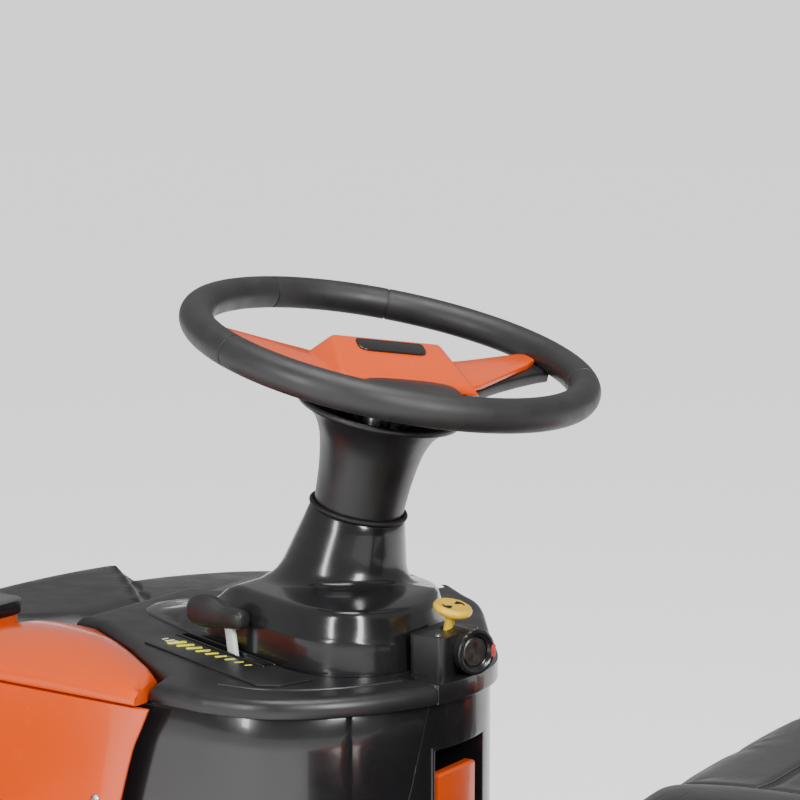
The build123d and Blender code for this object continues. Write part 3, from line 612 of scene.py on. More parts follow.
def cut(piece: Piece, *tools: Piece) -> Piece:
    """Cut tools out of a piece and delete the tools.

    Args:
        piece: what is cut.
        tools: solids to take away.

    Returns:
        The cut piece.
    """
    for tool in tools:
        step = piece.modifiers.new("cut", "BOOLEAN")
        step.object = tool
        step.solver = "EXACT"
        settle(piece, 38.0)
        bpy.data.objects.remove(tool)
    return piece


def joined(name: str, pieces: Sequence[Piece], crease: float = 40.0) -> Piece:
    """Put several pieces of one finish in one mesh.

    Args:
        name: name of the result.
        pieces: the pieces, which are used up.
        crease: shading crease angle in degrees.

    Returns:
        The joined object.
    """
    work = bmesh.new()
    for piece in pieces:
        work.from_mesh(piece.data)
    mesh = bpy.data.meshes.new(name)
    work.to_mesh(mesh)
    work.free()
    for piece in pieces:
        bpy.data.objects.remove(piece)
    mesh.shade_smooth()
    mesh.set_sharp_from_angle(angle=radians(crease))
    result = bpy.data.objects.new(name, mesh)
    bpy.context.scene.collection.objects.link(result)
    return result


def flipped(piece: Piece, name: str) -> Piece:
    """A copy of a piece mirrored to the other side of the machine."""
    mesh = piece.data.copy()
    mesh.transform(Matrix.Diagonal((1, -1, 1, 1)))
    mesh.flip_normals()
    copy = bpy.data.objects.new(name, mesh)
    bpy.context.scene.collection.objects.link(copy)
    return copy


def install(piece: Piece, skin: Skin, body: str, slot: str, *nodes: str) -> Piece:
    """Dress a piece and fix it to a body.

    Args:
        piece: the object.
        skin: its finish.
        body: the body that it moves with.
        slot: the record's material slot; not used.
        nodes: frame nodes that it stands for.

    Returns:
        The same object.
    """
    piece.data.materials.clear()
    piece.data.materials.append(WARDROBE.get(skin))
    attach(piece, body)
    if nodes:
        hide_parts(*nodes)
        replaced.update(nodes)
    log.info("%s on %s: %d faces", piece.name, body, len(piece.data.polygons))
    return piece


def stand_for(piece: Piece, skin: Skin, node: str) -> Piece:
    """Install a piece in the place of one frame node, on its body."""
    return install(piece, skin, BODY_OF[node], SLOT_OF[node], node)


def rounded_node(node: str, skin: Skin, radius: float = 1.5, segments: int = 2) -> Piece:
    """A copy of a frame node whose edges are rounded, standing for it.

    Args:
        node: the node's name.
        skin: the finish.
        radius: radius of the rounds.
        segments: steps in each round.

    Returns:
        The new piece.
    """
    mesh = frame["nodes"][node].data.copy()
    stale = mesh.attributes.get("custom_normal")
    if stale:
        mesh.attributes.remove(stale)
    work = bmesh.new()
    work.from_mesh(mesh)
    bmesh.ops.remove_doubles(work, verts=work.verts, dist=2e-5)
    bmesh.ops.dissolve_limit(work, angle_limit=radians(0.6), verts=work.verts, edges=work.edges)
    work.to_mesh(mesh)
    work.free()
    piece = bpy.data.objects.new(node + "_finished", mesh)
    bpy.context.scene.collection.objects.link(piece)
    rounded_edges(piece, radius, segments)
    return stand_for(piece, skin, node)


def dress_node(node: str, skin: Skin) -> None:
    """Give a frame node that stays its finish."""
    mesh = frame["nodes"][node].data
    mesh.materials.clear()
    mesh.materials.append(WARDROBE.get(skin))


# ---- repeats
@dataclass
class Spot:
    """Where one repeat of a template stands.

    Attributes:
        at: position.
        facing: direction of the template's Z axis.
        along: direction that its X axis leans to.
        size: scale.
    """
    at: Point
    facing: Point = (0.0, 0.0, 1.0)
    along: Point = (1.0, 0.0, 0.0)
    size: float = 1.0


class Repeater:
    """A Geometry Nodes tree that repeats one template over points."""

    def __init__(self) -> None:
        """Build the tree with its named inputs."""
        tree = bpy.data.node_groups.new("repeat_over_points", "GeometryNodeTree")
        self.tree = tree
        sockets = (("Points", "NodeSocketGeometry"), ("Template", "NodeSocketObject"),
                   ("Finish", "NodeSocketMaterial"), ("Lean", "NodeSocketFloat"),
                   ("Uneven", "NodeSocketFloat"), ("Seed", "NodeSocketInt"))
        self.keys = {}
        for name, kind in sockets:
            self.keys[name] = tree.interface.new_socket(name, in_out="INPUT", socket_type=kind).identifier
        tree.interface.new_socket("Result", in_out="OUTPUT", socket_type="NodeSocketGeometry")
        start, end = tree.nodes.new("NodeGroupInput"), tree.nodes.new("NodeGroupOutput")
        info = tree.nodes.new("GeometryNodeObjectInfo")
        spread = tree.nodes.new("GeometryNodeInstanceOnPoints")
        facing, along, size = (self._attribute(n, k) for n, k in (("facing", "FLOAT_VECTOR"),
            ("along", "FLOAT_VECTOR"), ("size", "FLOAT")))
        stand = self._align("Z", "AUTO")
        turn = self._align("X", "Z")
        lean = tree.nodes.new("FunctionNodeRandomValue")
        lean.data_type = "FLOAT_VECTOR"
        minus = tree.nodes.new("ShaderNodeMath")
        minus.operation = "MULTIPLY"
        minus.inputs[1].default_value = -1.0
        tilt = tree.nodes.new("FunctionNodeEulerToRotation")
        rotate = tree.nodes.new("FunctionNodeRotateRotation")
        rotate.rotation_space = "LOCAL"
        uneven = tree.nodes.new("FunctionNodeRandomValue")
        low, high, scale = (tree.nodes.new("ShaderNodeMath") for _ in range(3))
        low.operation, high.operation, scale.operation = "SUBTRACT", "ADD", "MULTIPLY"
        low.inputs[0].default_value = high.inputs[0].default_value = 1.0
        real = tree.nodes.new("GeometryNodeRealizeInstances")
        paint = tree.nodes.new("GeometryNodeSetMaterial")
        link = tree.links.new
        link(start.outputs["Points"], spread.inputs["Points"])
        link(start.outputs["Template"], info.inputs["Object"])
        link(info.outputs["Geometry"], spread.inputs["Instance"])
        link(facing, stand.inputs["Vector"])
        link(stand.outputs["Rotation"], turn.inputs["Rotation"])
        link(along, turn.inputs["Vector"])
        link(start.outputs["Lean"], lean.inputs["Max"])
        link(start.outputs["Lean"], minus.inputs[0])
        link(minus.outputs[0], lean.inputs["Min"])
        link(start.outputs["Seed"], lean.inputs["Seed"])
        link(lean.outputs["Value"], tilt.inputs["Euler"])
        link(turn.outputs["Rotation"], rotate.inputs["Rotation"])
        link(tilt.outputs["Rotation"], rotate.inputs["Rotate By"])
        link(rotate.outputs["Rotation"], spread.inputs["Rotation"])
        link(start.outputs["Uneven"], low.inputs[1])
        link(start.outputs["Uneven"], high.inputs[1])
        link(low.outputs[0], uneven.inputs[2])
        link(high.outputs[0], uneven.inputs[3])
        link(start.outputs["Seed"], uneven.inputs["Seed"])
        link(uneven.outputs[1], scale.inputs[0])
        link(size, scale.inputs[1])
        link(scale.outputs[0], spread.inputs["Scale"])
        link(spread.outputs["Instances"], real.inputs["Geometry"])
        link(real.outputs["Geometry"], paint.inputs["Geometry"])
        link(start.outputs["Finish"], paint.inputs["Material"])
        link(paint.outputs["Geometry"], end.inputs["Result"])

    def _attribute(self, name: str, kind: str) -> Socket:
        """Read a named attribute of the points."""
        node = self.tree.nodes.new("GeometryNodeInputNamedAttribute")
        node.data_type = kind
        node.inputs["Name"].default_value = name
        return next(s for s in node.outputs if s.name == "Attribute" and s.enabled)

    def _align(self, axis: str, pivot: str) -> bpy.types.Node:
        """A node that turns one axis of the template to a direction."""
        node = self.tree.nodes.new("FunctionNodeAlignRotationToVector")
        node.axis = axis
        node.pivot_axis = pivot
        return node

    def spread(self, name: str, template: Piece, spots: Sequence[Spot], skin: Skin, lean: float = 0.0,
               uneven: float = 0.0, seed: int = 1, crease: float = 40.0) -> Piece:
        """Repeat a template.

        Args:
            name: name of the result.
            template: the piece to repeat, in metres about the origin; it is used up.
            spots: where the repeats stand.
            skin: finish of the result.
            lean: greatest random lean in radians.
            uneven: random share by which the repeats differ in size.
            seed: seed of both.
            crease: shading crease angle in degrees.

        Returns:
            A plain mesh of all repeats.
        """
        mesh = bpy.data.meshes.new(name)
        mesh.from_pydata([Vector(s.at) * MM for s in spots], [], [])
        for key, kind, values in (("facing", "FLOAT_VECTOR", [c for s in spots for c in s.facing]),
                ("along", "FLOAT_VECTOR", [c for s in spots for c in s.along]), ("size", "FLOAT",
                [s.size for s in spots])):
            layer = mesh.attributes.new(key, kind, "POINT")
            layer.data.foreach_set("value" if kind == "FLOAT" else "vector", values)
        piece = bpy.data.objects.new(name, mesh)
        bpy.context.scene.collection.objects.link(piece)
        step = piece.modifiers.new("repeat", "NODES")
        step.node_group = self.tree
        for key, value in (("Template", template), ("Finish", WARDROBE.get(skin)), ("Lean", lean),
                           ("Uneven", uneven), ("Seed", seed)):
            step[self.keys[key]] = value
        settle(piece, crease)
        bpy.data.objects.remove(template)
        for key in ("facing", "along", "size"):
            layer = piece.data.attributes.get(key)
            if layer:
                piece.data.attributes.remove(layer)
        return piece


REPEATER = Repeater()


# ---- places
def frame_at(origin: Sequence[float], z_axis: Sequence[float] = (0, 0, 1), x_axis: Sequence[float] = (1, 0,
        0)) -> Matrix:
    """A placing matrix in millimetres.

    Args:
        origin: where the local origin goes.
        z_axis: direction of local Z.
        x_axis: direction that local X leans to.

    Returns:
        The matrix.
    """
    z = Vector(z_axis).normalized()
    x = Vector(x_axis)
    x = (x - z * x.dot(z)).normalized()
    place = Matrix((x, z.cross(x), z)).transposed().to_4x4()
    place.translation = Vector(origin)
    return place


def turned(place: Matrix, degrees: float) -> Matrix:
    """A place turned about its own Z axis."""
    return place @ Matrix.Rotation(radians(degrees), 4, "Z")


def box_mm(node: str) -> tuple[Vector, Vector]:
    """Lowest and highest corner of a frame node in millimetres."""
    low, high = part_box(node)
    return low / MM, high / MM


def joint_place(name: str) -> Matrix:
    """The place of a joint: its point, with local Z along its axis."""
    joint = JOINTS[name]
    axis = Vector(joint["axis"])
    lean = Vector((1, 0, 0)) if abs(axis.x) < 0.8 else Vector((0, 0, 1))
    return frame_at(Vector(joint["pos_m"]) / MM, axis, lean)


def placed(place: Matrix, spots: Sequence[Spot]) -> list[Spot]:
    """Spots given in a local frame, in the machine's frame."""
    turn = place.to_3x3()
    return [Spot(tuple(place @ Vector(s.at)), tuple(turn @ Vector(s.facing)), tuple(turn @ Vector(s.along)),
                 s.size) for s in spots]


def arc(cx: float, cy: float, radius: float, start: float, end: float, steps: int = 6) -> list[Pair]:
    """Points on an arc, angles in degrees."""
    return [(cx + radius * cos(radians(a)), cy + radius * sin(radians(a))) for a in (start + (end - start)
        * k / steps for k in range(steps + 1))]


def rounded_outline(points: Sequence[Pair], radius: float | Sequence[float], steps: int = 6) -> list[Pair]:
    """An outline whose corners are rounded by curves of about the given radius.

    Args:
        points: corners in order.
        radius: one radius or one for each corner.
        steps: steps in each corner.

    Returns:
        The rounded outline.
    """
    result: list[Pair] = []
    for k, corner in enumerate(points):
        here, before, after = Vector(corner), Vector(points[k - 1]), Vector(points[(k + 1) % len(points)])
        size = radius[k] if isinstance(radius, (list, tuple)) else radius
        to_before, to_after = (before - here), (after - here)
        half = to_before.angle(to_after) / 2
        reach = min(size / tan(half), to_before.length * 0.48, to_after.length * 0.48)
        start, end = here + to_before.normalized() * reach, here + to_after.normalized() * reach
        for s in range(steps + 1):
            t = s / steps
            spot = start * (1 - t) ** 2 + here * 2 * t * (1 - t) + end * t ** 2
            result.append((spot.x, spot.y))
    return result


def anticlockwise(outline: Sequence[Pair]) -> list[Pair]:
    """The outline turned anticlockwise if it is not."""
    area = sum(x0 * y1 - x1 * y0 for (x0, y0), (x1, y1) in zip(outline, list(outline[1:]) + [outline[0]]))
    return list(outline) if area > 0 else list(reversed(outline))


def even(outline: Sequence[Pair], count: int) -> list[Pair]:
    """An outline resampled at equal steps.

    Args:
        outline: closed outline.
        count: how many points to give.

    Returns:
        The new points.
    """
    closed = [Vector(p) for p in outline] + [Vector(outline[0])]
    lengths = [0.0]
    for a, b in zip(closed, closed[1:]):
        lengths.append(lengths[-1] + (b - a).length)
    result, at = [], 0
    for k in range(count):
        want = lengths[-1] * k / count
        while lengths[at + 1] < want:
            at += 1
        share = (want - lengths[at]) / max(1e-9, lengths[at + 1] - lengths[at])
        spot = closed[at].lerp(closed[at + 1], share)
        result.append((spot.x, spot.y))
    return result


def between(table: Sequence[Pair], x: float) -> float:
    """A value read off a line through (x, value) points, held at its ends."""
    if x <= table[0][0]:
        return table[0][1]
    for (x0, v0), (x1, v1) in zip(table, table[1:]):
        if x <= x1:
            return v0 + (v1 - v0) * (x - x0) / (x1 - x0)
    return table[-1][1]


def eased(table: Sequence[Pair], x: float, width: float) -> float:
    """A value read off a line through points, with its corners eased over a width."""
    return sum(between(table, x + width * (k / 4 - 1)) for k in range(9)) / 9


def screw_head(radius: float = 4.0) -> Piece:
    """A cross-recess screw head that stands on its local Z.

    Args:
        radius: radius of the head.

    Returns:
        The template.
    """
    rings = []
    for r, z in ((1.0, -0.3), (1.0, 0.15), (0.86, 0.36), (0.55, 0.5)):
        rings.append([(radius * r * cos(a), radius * r * sin(a), radius * z) for a in (2 * pi * k / 16
            for k in range(16))])
    cross = []
    for k in range(16):
        reach = 0.5 if k % 4 == 0 else 0.14
        turn = 2 * pi * k / 16
        cross.append((radius * reach * cos(turn), radius * reach * sin(turn), radius * 0.5))
    rings.append(cross)
    rings.append([(x, y, radius * 0.2) for x, y, _ in cross])
    return loft("screw_template", rings, crease=30)


def bar_shape(length: float, width: float, height: float, slope: float = 0.8) -> Piece:
    """A low bar with sloped, rounded flanks, standing on its local Z.

    Args:
        length: size along X.
        width: size along Y.
        height: size along Z.
        slope: flank inset.

    Returns:
        The template.
    """
    rings = []
    for inset, z in ((0.0, -0.4), (0.0, height * 0.6), (slope * 0.4, height * 0.9), (slope, height)):
        corners = [(length / 2 - inset, width / 2 - inset), (-length / 2 + inset, width / 2 - inset),
                   (-length / 2 + inset, -width / 2 + inset), (length / 2 - inset, -width / 2 + inset)]
        rings.append([(x, y, z) for x, y in rounded_outline(corners, min(width, length) * 0.22, 2)])
    return loft("bar_template", rings, crease=30)


def needles(count: int, length: float, spread: float, thick: float, bend: float, seed: int,
            segments: int = 2) -> Piece:
    """A tuft of bristles that stands on its local Z.

    Args:
        count: bristles in the tuft.
        length: their length.
        spread: how far their tips wander.
        thick: their thickness.
        bend: how far the tips curve towards local X.
        seed: seed of their places.
        segments: spans in each bristle.

    Returns:
        The template.
    """
    chance = random.Random(seed)
    points: list[Point] = []
    faces: list[tuple[int, ...]] = []
    for _ in range(count):
        turn, out = chance.uniform(0, 2 * pi), chance.uniform(0.1, 1) ** 0.5
        foot = Vector((cos(turn), sin(turn), 0)) * out * thick * 1.9
        tip = foot + Vector((cos(turn), sin(turn), 0)) * out * spread
        long = length * chance.uniform(0.93, 1.0)
        start = len(points)
        for s in range(segments + 1):
            t = s / segments
            middle = foot.lerp(tip, t * t) + Vector((bend * t * t, 0, long * t))
            size = thick * (0.5 - 0.22 * t)
            points += [tuple(middle + Vector((cos(a), sin(a), 0)) * size) for a in (turn, turn + 2.0944,
                turn + 4.1888)]
        for s in range(segments):
            base = start + 3 * s
            faces += [(base + k, base + (k + 1) % 3, base + (k + 1) % 3 + 3, base + k + 3) for k in range(3)]
        faces += [(start + 2, start + 1, start), tuple(start + 3 * segments + k for k in range(3))]
    return piece_from("tuft_template", points, faces)


def screws(name: str, spots: Sequence[Spot], body: str, slot: str = "bare_steel", radius: float = 4.0,
           skin: Skin = Skin.STEEL) -> None:
    """Fit screw heads at spots on a body."""
    piece = REPEATER.spread(name, screw_head(radius), spots, skin, seed=3, crease=30)
    install(piece, skin, body, slot)


# ---- steering wheel
@dataclass
class SteeringWheel:
    """Rim, core, orange pad, badge and the column covers under it."""
    rim_radius: float = 165.0
    tube: float = 14.0
    rest_turn: float = -33.7
    joints_at: tuple[float, ...] = (20.0, 108.0, -20.0, -108.0)
    joint_half: float = 0.75
    joint_depth: float = 0.8
    spoke_thick: float = 13.0
    ribs: int = 18
    column: Matrix = field(default_factory=lambda: joint_place("steering_turn"))

    def __post_init__(self) -> None:
        """Work out the frame of the wheel itself."""
        self.wheel = turned(self.column, self.rest_turn)

    def rim(self) -> None:
        """The grip, in four lengths with fine joint lines."""
        angles: list[tuple[float, float]] = [(360 * k / 144, 0.0) for k in range(144)]
        step = math.degrees(self.joint_half / self.rim_radius)
        for centre in self.joints_at:
            near = [a for a in angles if abs((a[0] - centre + 180) % 360 - 180) > 3 * step]
            angles = near + [(centre % 360 + step * s, self.joint_depth * d) for s, d in ((-2.2, 0),
                (-1.2, 0.08), (-0.8, 0.9), (0, 1), (0.8, 0.9), (1.2, 0.08), (2.2, 0))]
        rings = []
        for angle, sunk in sorted(angles):
            turn = radians(angle)
            out = Vector((cos(turn), sin(turn), 0))
            rings.append([out * (self.rim_radius + (self.tube - sunk) * cos(a)) + Vector((0, 0,
                (self.tube - sunk) * sin(a))) for a in (2 * pi * k / 40 for k in range(40))])
        rings.append(rings[0])
        stand_for(loft("rim_grip", rings, self.wheel, caps=False, crease=50), Skin.GRIP, "steering_rim")

    def side_spoke(self, side: int) -> Piece:
        """One arm of the core, from the hub to the rim."""
        rows = [(24, -10, 34), (40, -9, 36), (62, -5, 35), (80, 3, 31), (100, 12, 27), (125, 21, 22),
                (146, 28, 19), (158, 33, 20)]
        rings = []
        for y, middle, half in rows:
            top = -24.3 + 0.1045 * y
            rings.append(oval((middle, side * y, top - self.spoke_thick / 2), half, self.spoke_thick / 2,
                              Vector((1, 0, 0)), Vector((0, 0, 1)), 5.0, 32))
        return loft("spoke", rings, self.wheel)

    def near_spoke(self) -> Piece:
        """The lower arm, with the round swell next to the pad."""
        rows = [(-24, 44, -17, 14), (-38, 44, -13, 16), (-52, 43, -9.5, 17), (-66, 41, -8.5, 16),
                (-84, 36, -9, 13), (-110, 30, -7, 12), (-135, 27, -4.5, 12), (-158, 26, -2.5, 12)]
        rings = []
        for x, half, top, thick in rows:
            rings.append(oval((x, 0, top - thick / 2), half, thick / 2, Vector((0, 1, 0)),
                              Vector((0, 0, 1)), 3.2, 36))
        return loft("near_spoke", rings, self.wheel)

    def core(self) -> None:
        """Hub bowl, the three arms, and the ribs under them."""
        bowl = revolve("bowl", [(12, -46), (50, -46), (57, -45), (63, -43.5), (68, -40), (71, -35),
            (73, -28), (73.5, -24), (72, -21.5), (66, -20.6), (12, -20.6)], self.wheel, 96, 30)
        stand_for(joined("wheel_core", [bowl, self.side_spoke(1), self.side_spoke(-1), self.near_spoke()],
                         35), Skin.SATIN, "steering_core")
        spots = [Spot((61 * cos(a), 61 * sin(a), -39), (cos(a) * 0.55, sin(a) * 0.55, -0.83),
                      (cos(a), sin(a), 0)) for a in (2 * pi * k / self.ribs for k in range(self.ribs))]
        ribs = REPEATER.spread("hub_ribs", bar_shape(24, 2.4, 7.5, 0.5), placed(self.wheel, spots),
            Skin.SATIN)
        install(ribs, Skin.SATIN, "steering_wheel", "black_matte")
        nut = revolve("shaft_nut", [(0, -20.5), (15, -20.5), (16, -19.5), (16, -17), (0, -17)], self.wheel,
                      6, 20)
        install(nut, Skin.STEEL, "steering_wheel", "bare_steel")

    def pad(self) -> None:
        """The raised orange pad with its two arm covers, and the plain badge."""
        far, near, foot = 6.0, -11.5, -20.5
        corners = [(27, -70, foot), (27, 70, foot), (-49, 68, foot), (-49, -68, foot), (15, -49, far),
                   (15, 49, far), (-46, 58, near), (-46, -58, near)]
        faces = [(0, 3, 2, 1), (4, 5, 6, 7), (0, 1, 5, 4), (1, 2, 6, 5), (2, 3, 7, 6), (3, 0, 4, 7)]
        block = rounded_edges(piece_from("pad_block", corners, faces, self.wheel), 4.0, 5, 20)
        pieces = [block]
        for side in (1, -1):
            outline = [(21, 40), (30, 84), (46, 140), (44, 150), (30, 151), (16, 138), (-36, 72), (-42, 60),
                       (-42, 40)]
            outline = rounded_outline(outline, [2, 30, 8, 6, 8, 16, 10, 6, 2], 5)
            rings = []
            for inset, lift in ((0.0, 0.0), (0.0, 2.6), (0.5, 3.8), (1.6, 4.5), (4.0, 4.9)):
                line = drawn_in(anticlockwise(outline), inset)
                rings.append([(x, side * y, -24 + 0.1045 * y + lift) for x, y in line])
            pieces.append(loft("arm_cover", rings, self.wheel, crease=50))
        stand_for(joined("hub_cover_pad", pieces, 35), Skin.ORANGE, "hub_cover")
        slope = Vector((15 - -46, 0, far - near)).normalized()
        up = Vector((-slope.z, 0, slope.x))
        middle = Vector((15, 0, far)) - slope * 15 + up * 0.5
        place = self.wheel @ frame_at(middle, up, slope)
        outline = rounded_outline([(8.5, -31), (8.5, 31), (-8.5, 31), (-8.5, -31)], [4, 4, 8, 8], 5)
        badge = plate("plain_badge", anticlockwise(outline), -0.6, 1.2, 0.8, 0.2, place)
        install(badge, Skin.GLOSS, "steering_wheel", "black_gloss")
        border = tube("badge_border", [tuple(place @ Vector((x, y, 1.1))) for x,
            y in drawn_in(anticlockwise(outline), 1.4)], 0.3, 6, True)
        install(border, Skin.SEAL, "steering_wheel", "black_gloss")

    def shroud(self) -> None:
        """Trumpet under the hub and seal ring, which stay with the chassis."""
        outer = smooth_line([(38.6, -138.5), (39.2, -126), (40.4, -110), (42.6, -94), (46, -79),
            (52, -66.5), (60, -58.5), (69, -53.5)], 5)
        inner = smooth_line([(66.5, -49.6), (58, -55), (49.5, -63), (43, -76), (39.8, -94), (36.2, -120),
            (35.8, -138.5)], 4)
        profile = outer + [(70.4, -52.2), (70.6, -50), (69.8, -48.6), (68.2, -48.2)] + inner
        stand_for(revolve("column_trumpet", profile, self.column, 128, 55), Skin.SATIN, "column_shroud")
        lip = arc(40.6, -140.4, 2.2, -90, 180, 8)
        ring = revolve("seal_ring", [(37.4, -142.6)] + lip + [(37.4, -138.8)], self.column, 128, 40)
        stand_for(ring, Skin.SEAL, "column_seal")

    def build(self) -> None:
        """Make everything from the rim down to the seal."""
        self.rim()
        self.core()
        self.pad()
        self.shroud()
        rounded_node("steering_shaft", Skin.STEEL, 0.8)
        rounded_node("column_tube", Skin.FRAME, 0.6)


# ---- column cowl
@dataclass
class Cowl:
    """The glossy cover round the column, a cone on a teardrop base."""
    foot_z: float = 706.3
    shoulder: float = 22.0
    shoulder_in: float = 10.0
    head: float = -143.0
    head_radius: float = 41.0
    growth: float = 15.0 / 63.0
    steps: int = 220
    column: Matrix = field(default_factory=lambda: joint_place("steering_turn"))
    crest: tuple[Pair, ...] = ((86, 748), (98, 757), (258, 757), (290, 735), (347, 718), (408, 702))

    def outline(self) -> list[Pair]:
        """Plan of the base, evenly stepped."""
        guide = [(408, 0), (392, 32), (330, 64), (250, 95), (190, 118), (150, 128), (118, 124), (96, 106),
                 (84, 76), (80, 42), (90, 6), (112, -32), (146, -74), (184, -102), (224, -106), (290, -82),
                 (350, -56), (392, -32)]
        return even(anticlockwise([tuple(p) for p in smooth_line(guide, 8, True)]), self.steps)

    def top(self, x: float, y: float = 0.0) -> float:
        """Height of the crest, which lies lower on the right."""
        return max(self.foot_z - 4, eased(self.crest, x, 12.0) - 14 * min(1.0, max(0.0, -y / 85)))

    def cone_point(self, turn: float, z: float, extra: float) -> Vector:
        """Where the cone, grown by extra, reaches a height in the machine's frame at one angle."""
        tilt = acos(self.column.to_3x3().col[2].z)
        below = self.head - 60
        for _ in range(8):
            radius = self.head_radius + extra + (self.head - below) * self.growth
            below = (z - self.column.translation.z - radius * cos(turn) * sin(tilt)) / cos(tilt)
        radius = self.head_radius + extra + (self.head - below) * self.growth
        return self.column @ Vector((radius * cos(turn), radius * sin(turn), below))

    def build(self) -> None:
        """Loft the cowl from the foot to the seal."""
        plan = self.outline()
        middle = self.column @ Vector((0, 0, self.head - 62))
        rings: list[list[Vector]] = []

        def level(inset: float, height: Callable[[float, float], float]) -> None:
            """Add a row that follows the plan, drawn in."""
            rings.append([Vector((x, y, height(x, y))) for x, y in drawn_in(plan, inset)])

        level(3.0, lambda x, y: self.foot_z)
        level(0.0, lambda x, y: self.foot_z)
        for share in (0.25, 0.5, 0.75):
            level(2.0 * share, lambda x, y, s=share: self.foot_z + s * max(1.5,
                self.top(x, y) - self.shoulder - 2 - self.foot_z))
        for drop, inset in ((2.0, 1.8), (0.7, 2.1), (-0.8, 2.9), (-3.0, 4.0)):
            level(inset, lambda x, y, d=drop: max(self.foot_z + 1.2 - d * 0.1,
                self.top(x, y) - self.shoulder - d))
        for share in (0.35, 0.7, 0.9):
            level(4.0 + (self.shoulder_in - 4) * share, lambda x, y, s=share: max(self.foot_z + 1.8 + s,
                self.top(x, y) - (self.shoulder - 3) * (1 - s)))
        level(self.shoulder_in + 2.5, lambda x, y: max(self.foot_z + 3.0, self.top(x, y) + 0.3))
        level(self.shoulder_in + 5.5, lambda x, y: max(self.foot_z + 3.2, self.top(x, y) + 0.6))
        rim = rings[-1]
        turns = [atan2(p.y, p.x - middle.x) for p in rim]
        flares = [min(1.0, max(0.05, (hypot(p.x - middle.x, p.y) - 58) / 11)) for p in rim]
        heights = [self.top(middle.x + 66 * cos(t), 66 * sin(t)) for t in turns]
        feet = [self.cone_point(t, h + 1.0, 11.0 * f) for t, h, f in zip(turns, heights, flares)]
        for share in (0.2, 0.4, 0.6, 0.8, 1.0):
            row = []
            for edge, foot in zip(rim, feet):
                spot = edge.lerp(foot, share)
                spot.z = max(self.foot_z + 3.2 + 0.4 * share, self.top(spot.x, spot.y) + 0.6 + 0.4 * share)
                row.append(spot)
            rings.append(row)
        for extra, rise in ((7.0, 2.4), (3.8, 4.8), (1.7, 8.5), (0.6, 13.0), (0.0, 18.0)):
            rings.append([self.cone_point(t, h + rise, extra * f) for t, h, f in zip(turns, heights,
                flares)])
        last = [self.column.inverted() @ p for p in rings[-1]]
        for share in (0.25, 0.5, 0.75, 0.96, 1.0):
            row = []
            for t, p in zip(turns, last):
                below = p.z + (self.head - 0.3 - p.z) * share
                radius = self.head_radius + (self.head - below) * self.growth - (0.6 if share == 1 else 0)
                row.append(self.column @ Vector((radius * cos(t), radius * sin(t), below)))
            rings.append(row)
        for radius, below in ((37.5, self.head - 0.4), (37.5, self.head - 26)):
            rings.append([self.column @ Vector((radius * cos(t), radius * sin(t), below)) for t in turns])
        piece = loft("column_cover", [[tuple(p) for p in ring] for ring in rings], caps=False, crease=42)
        stand_for(piece, Skin.GLOSS, "column_cowl")


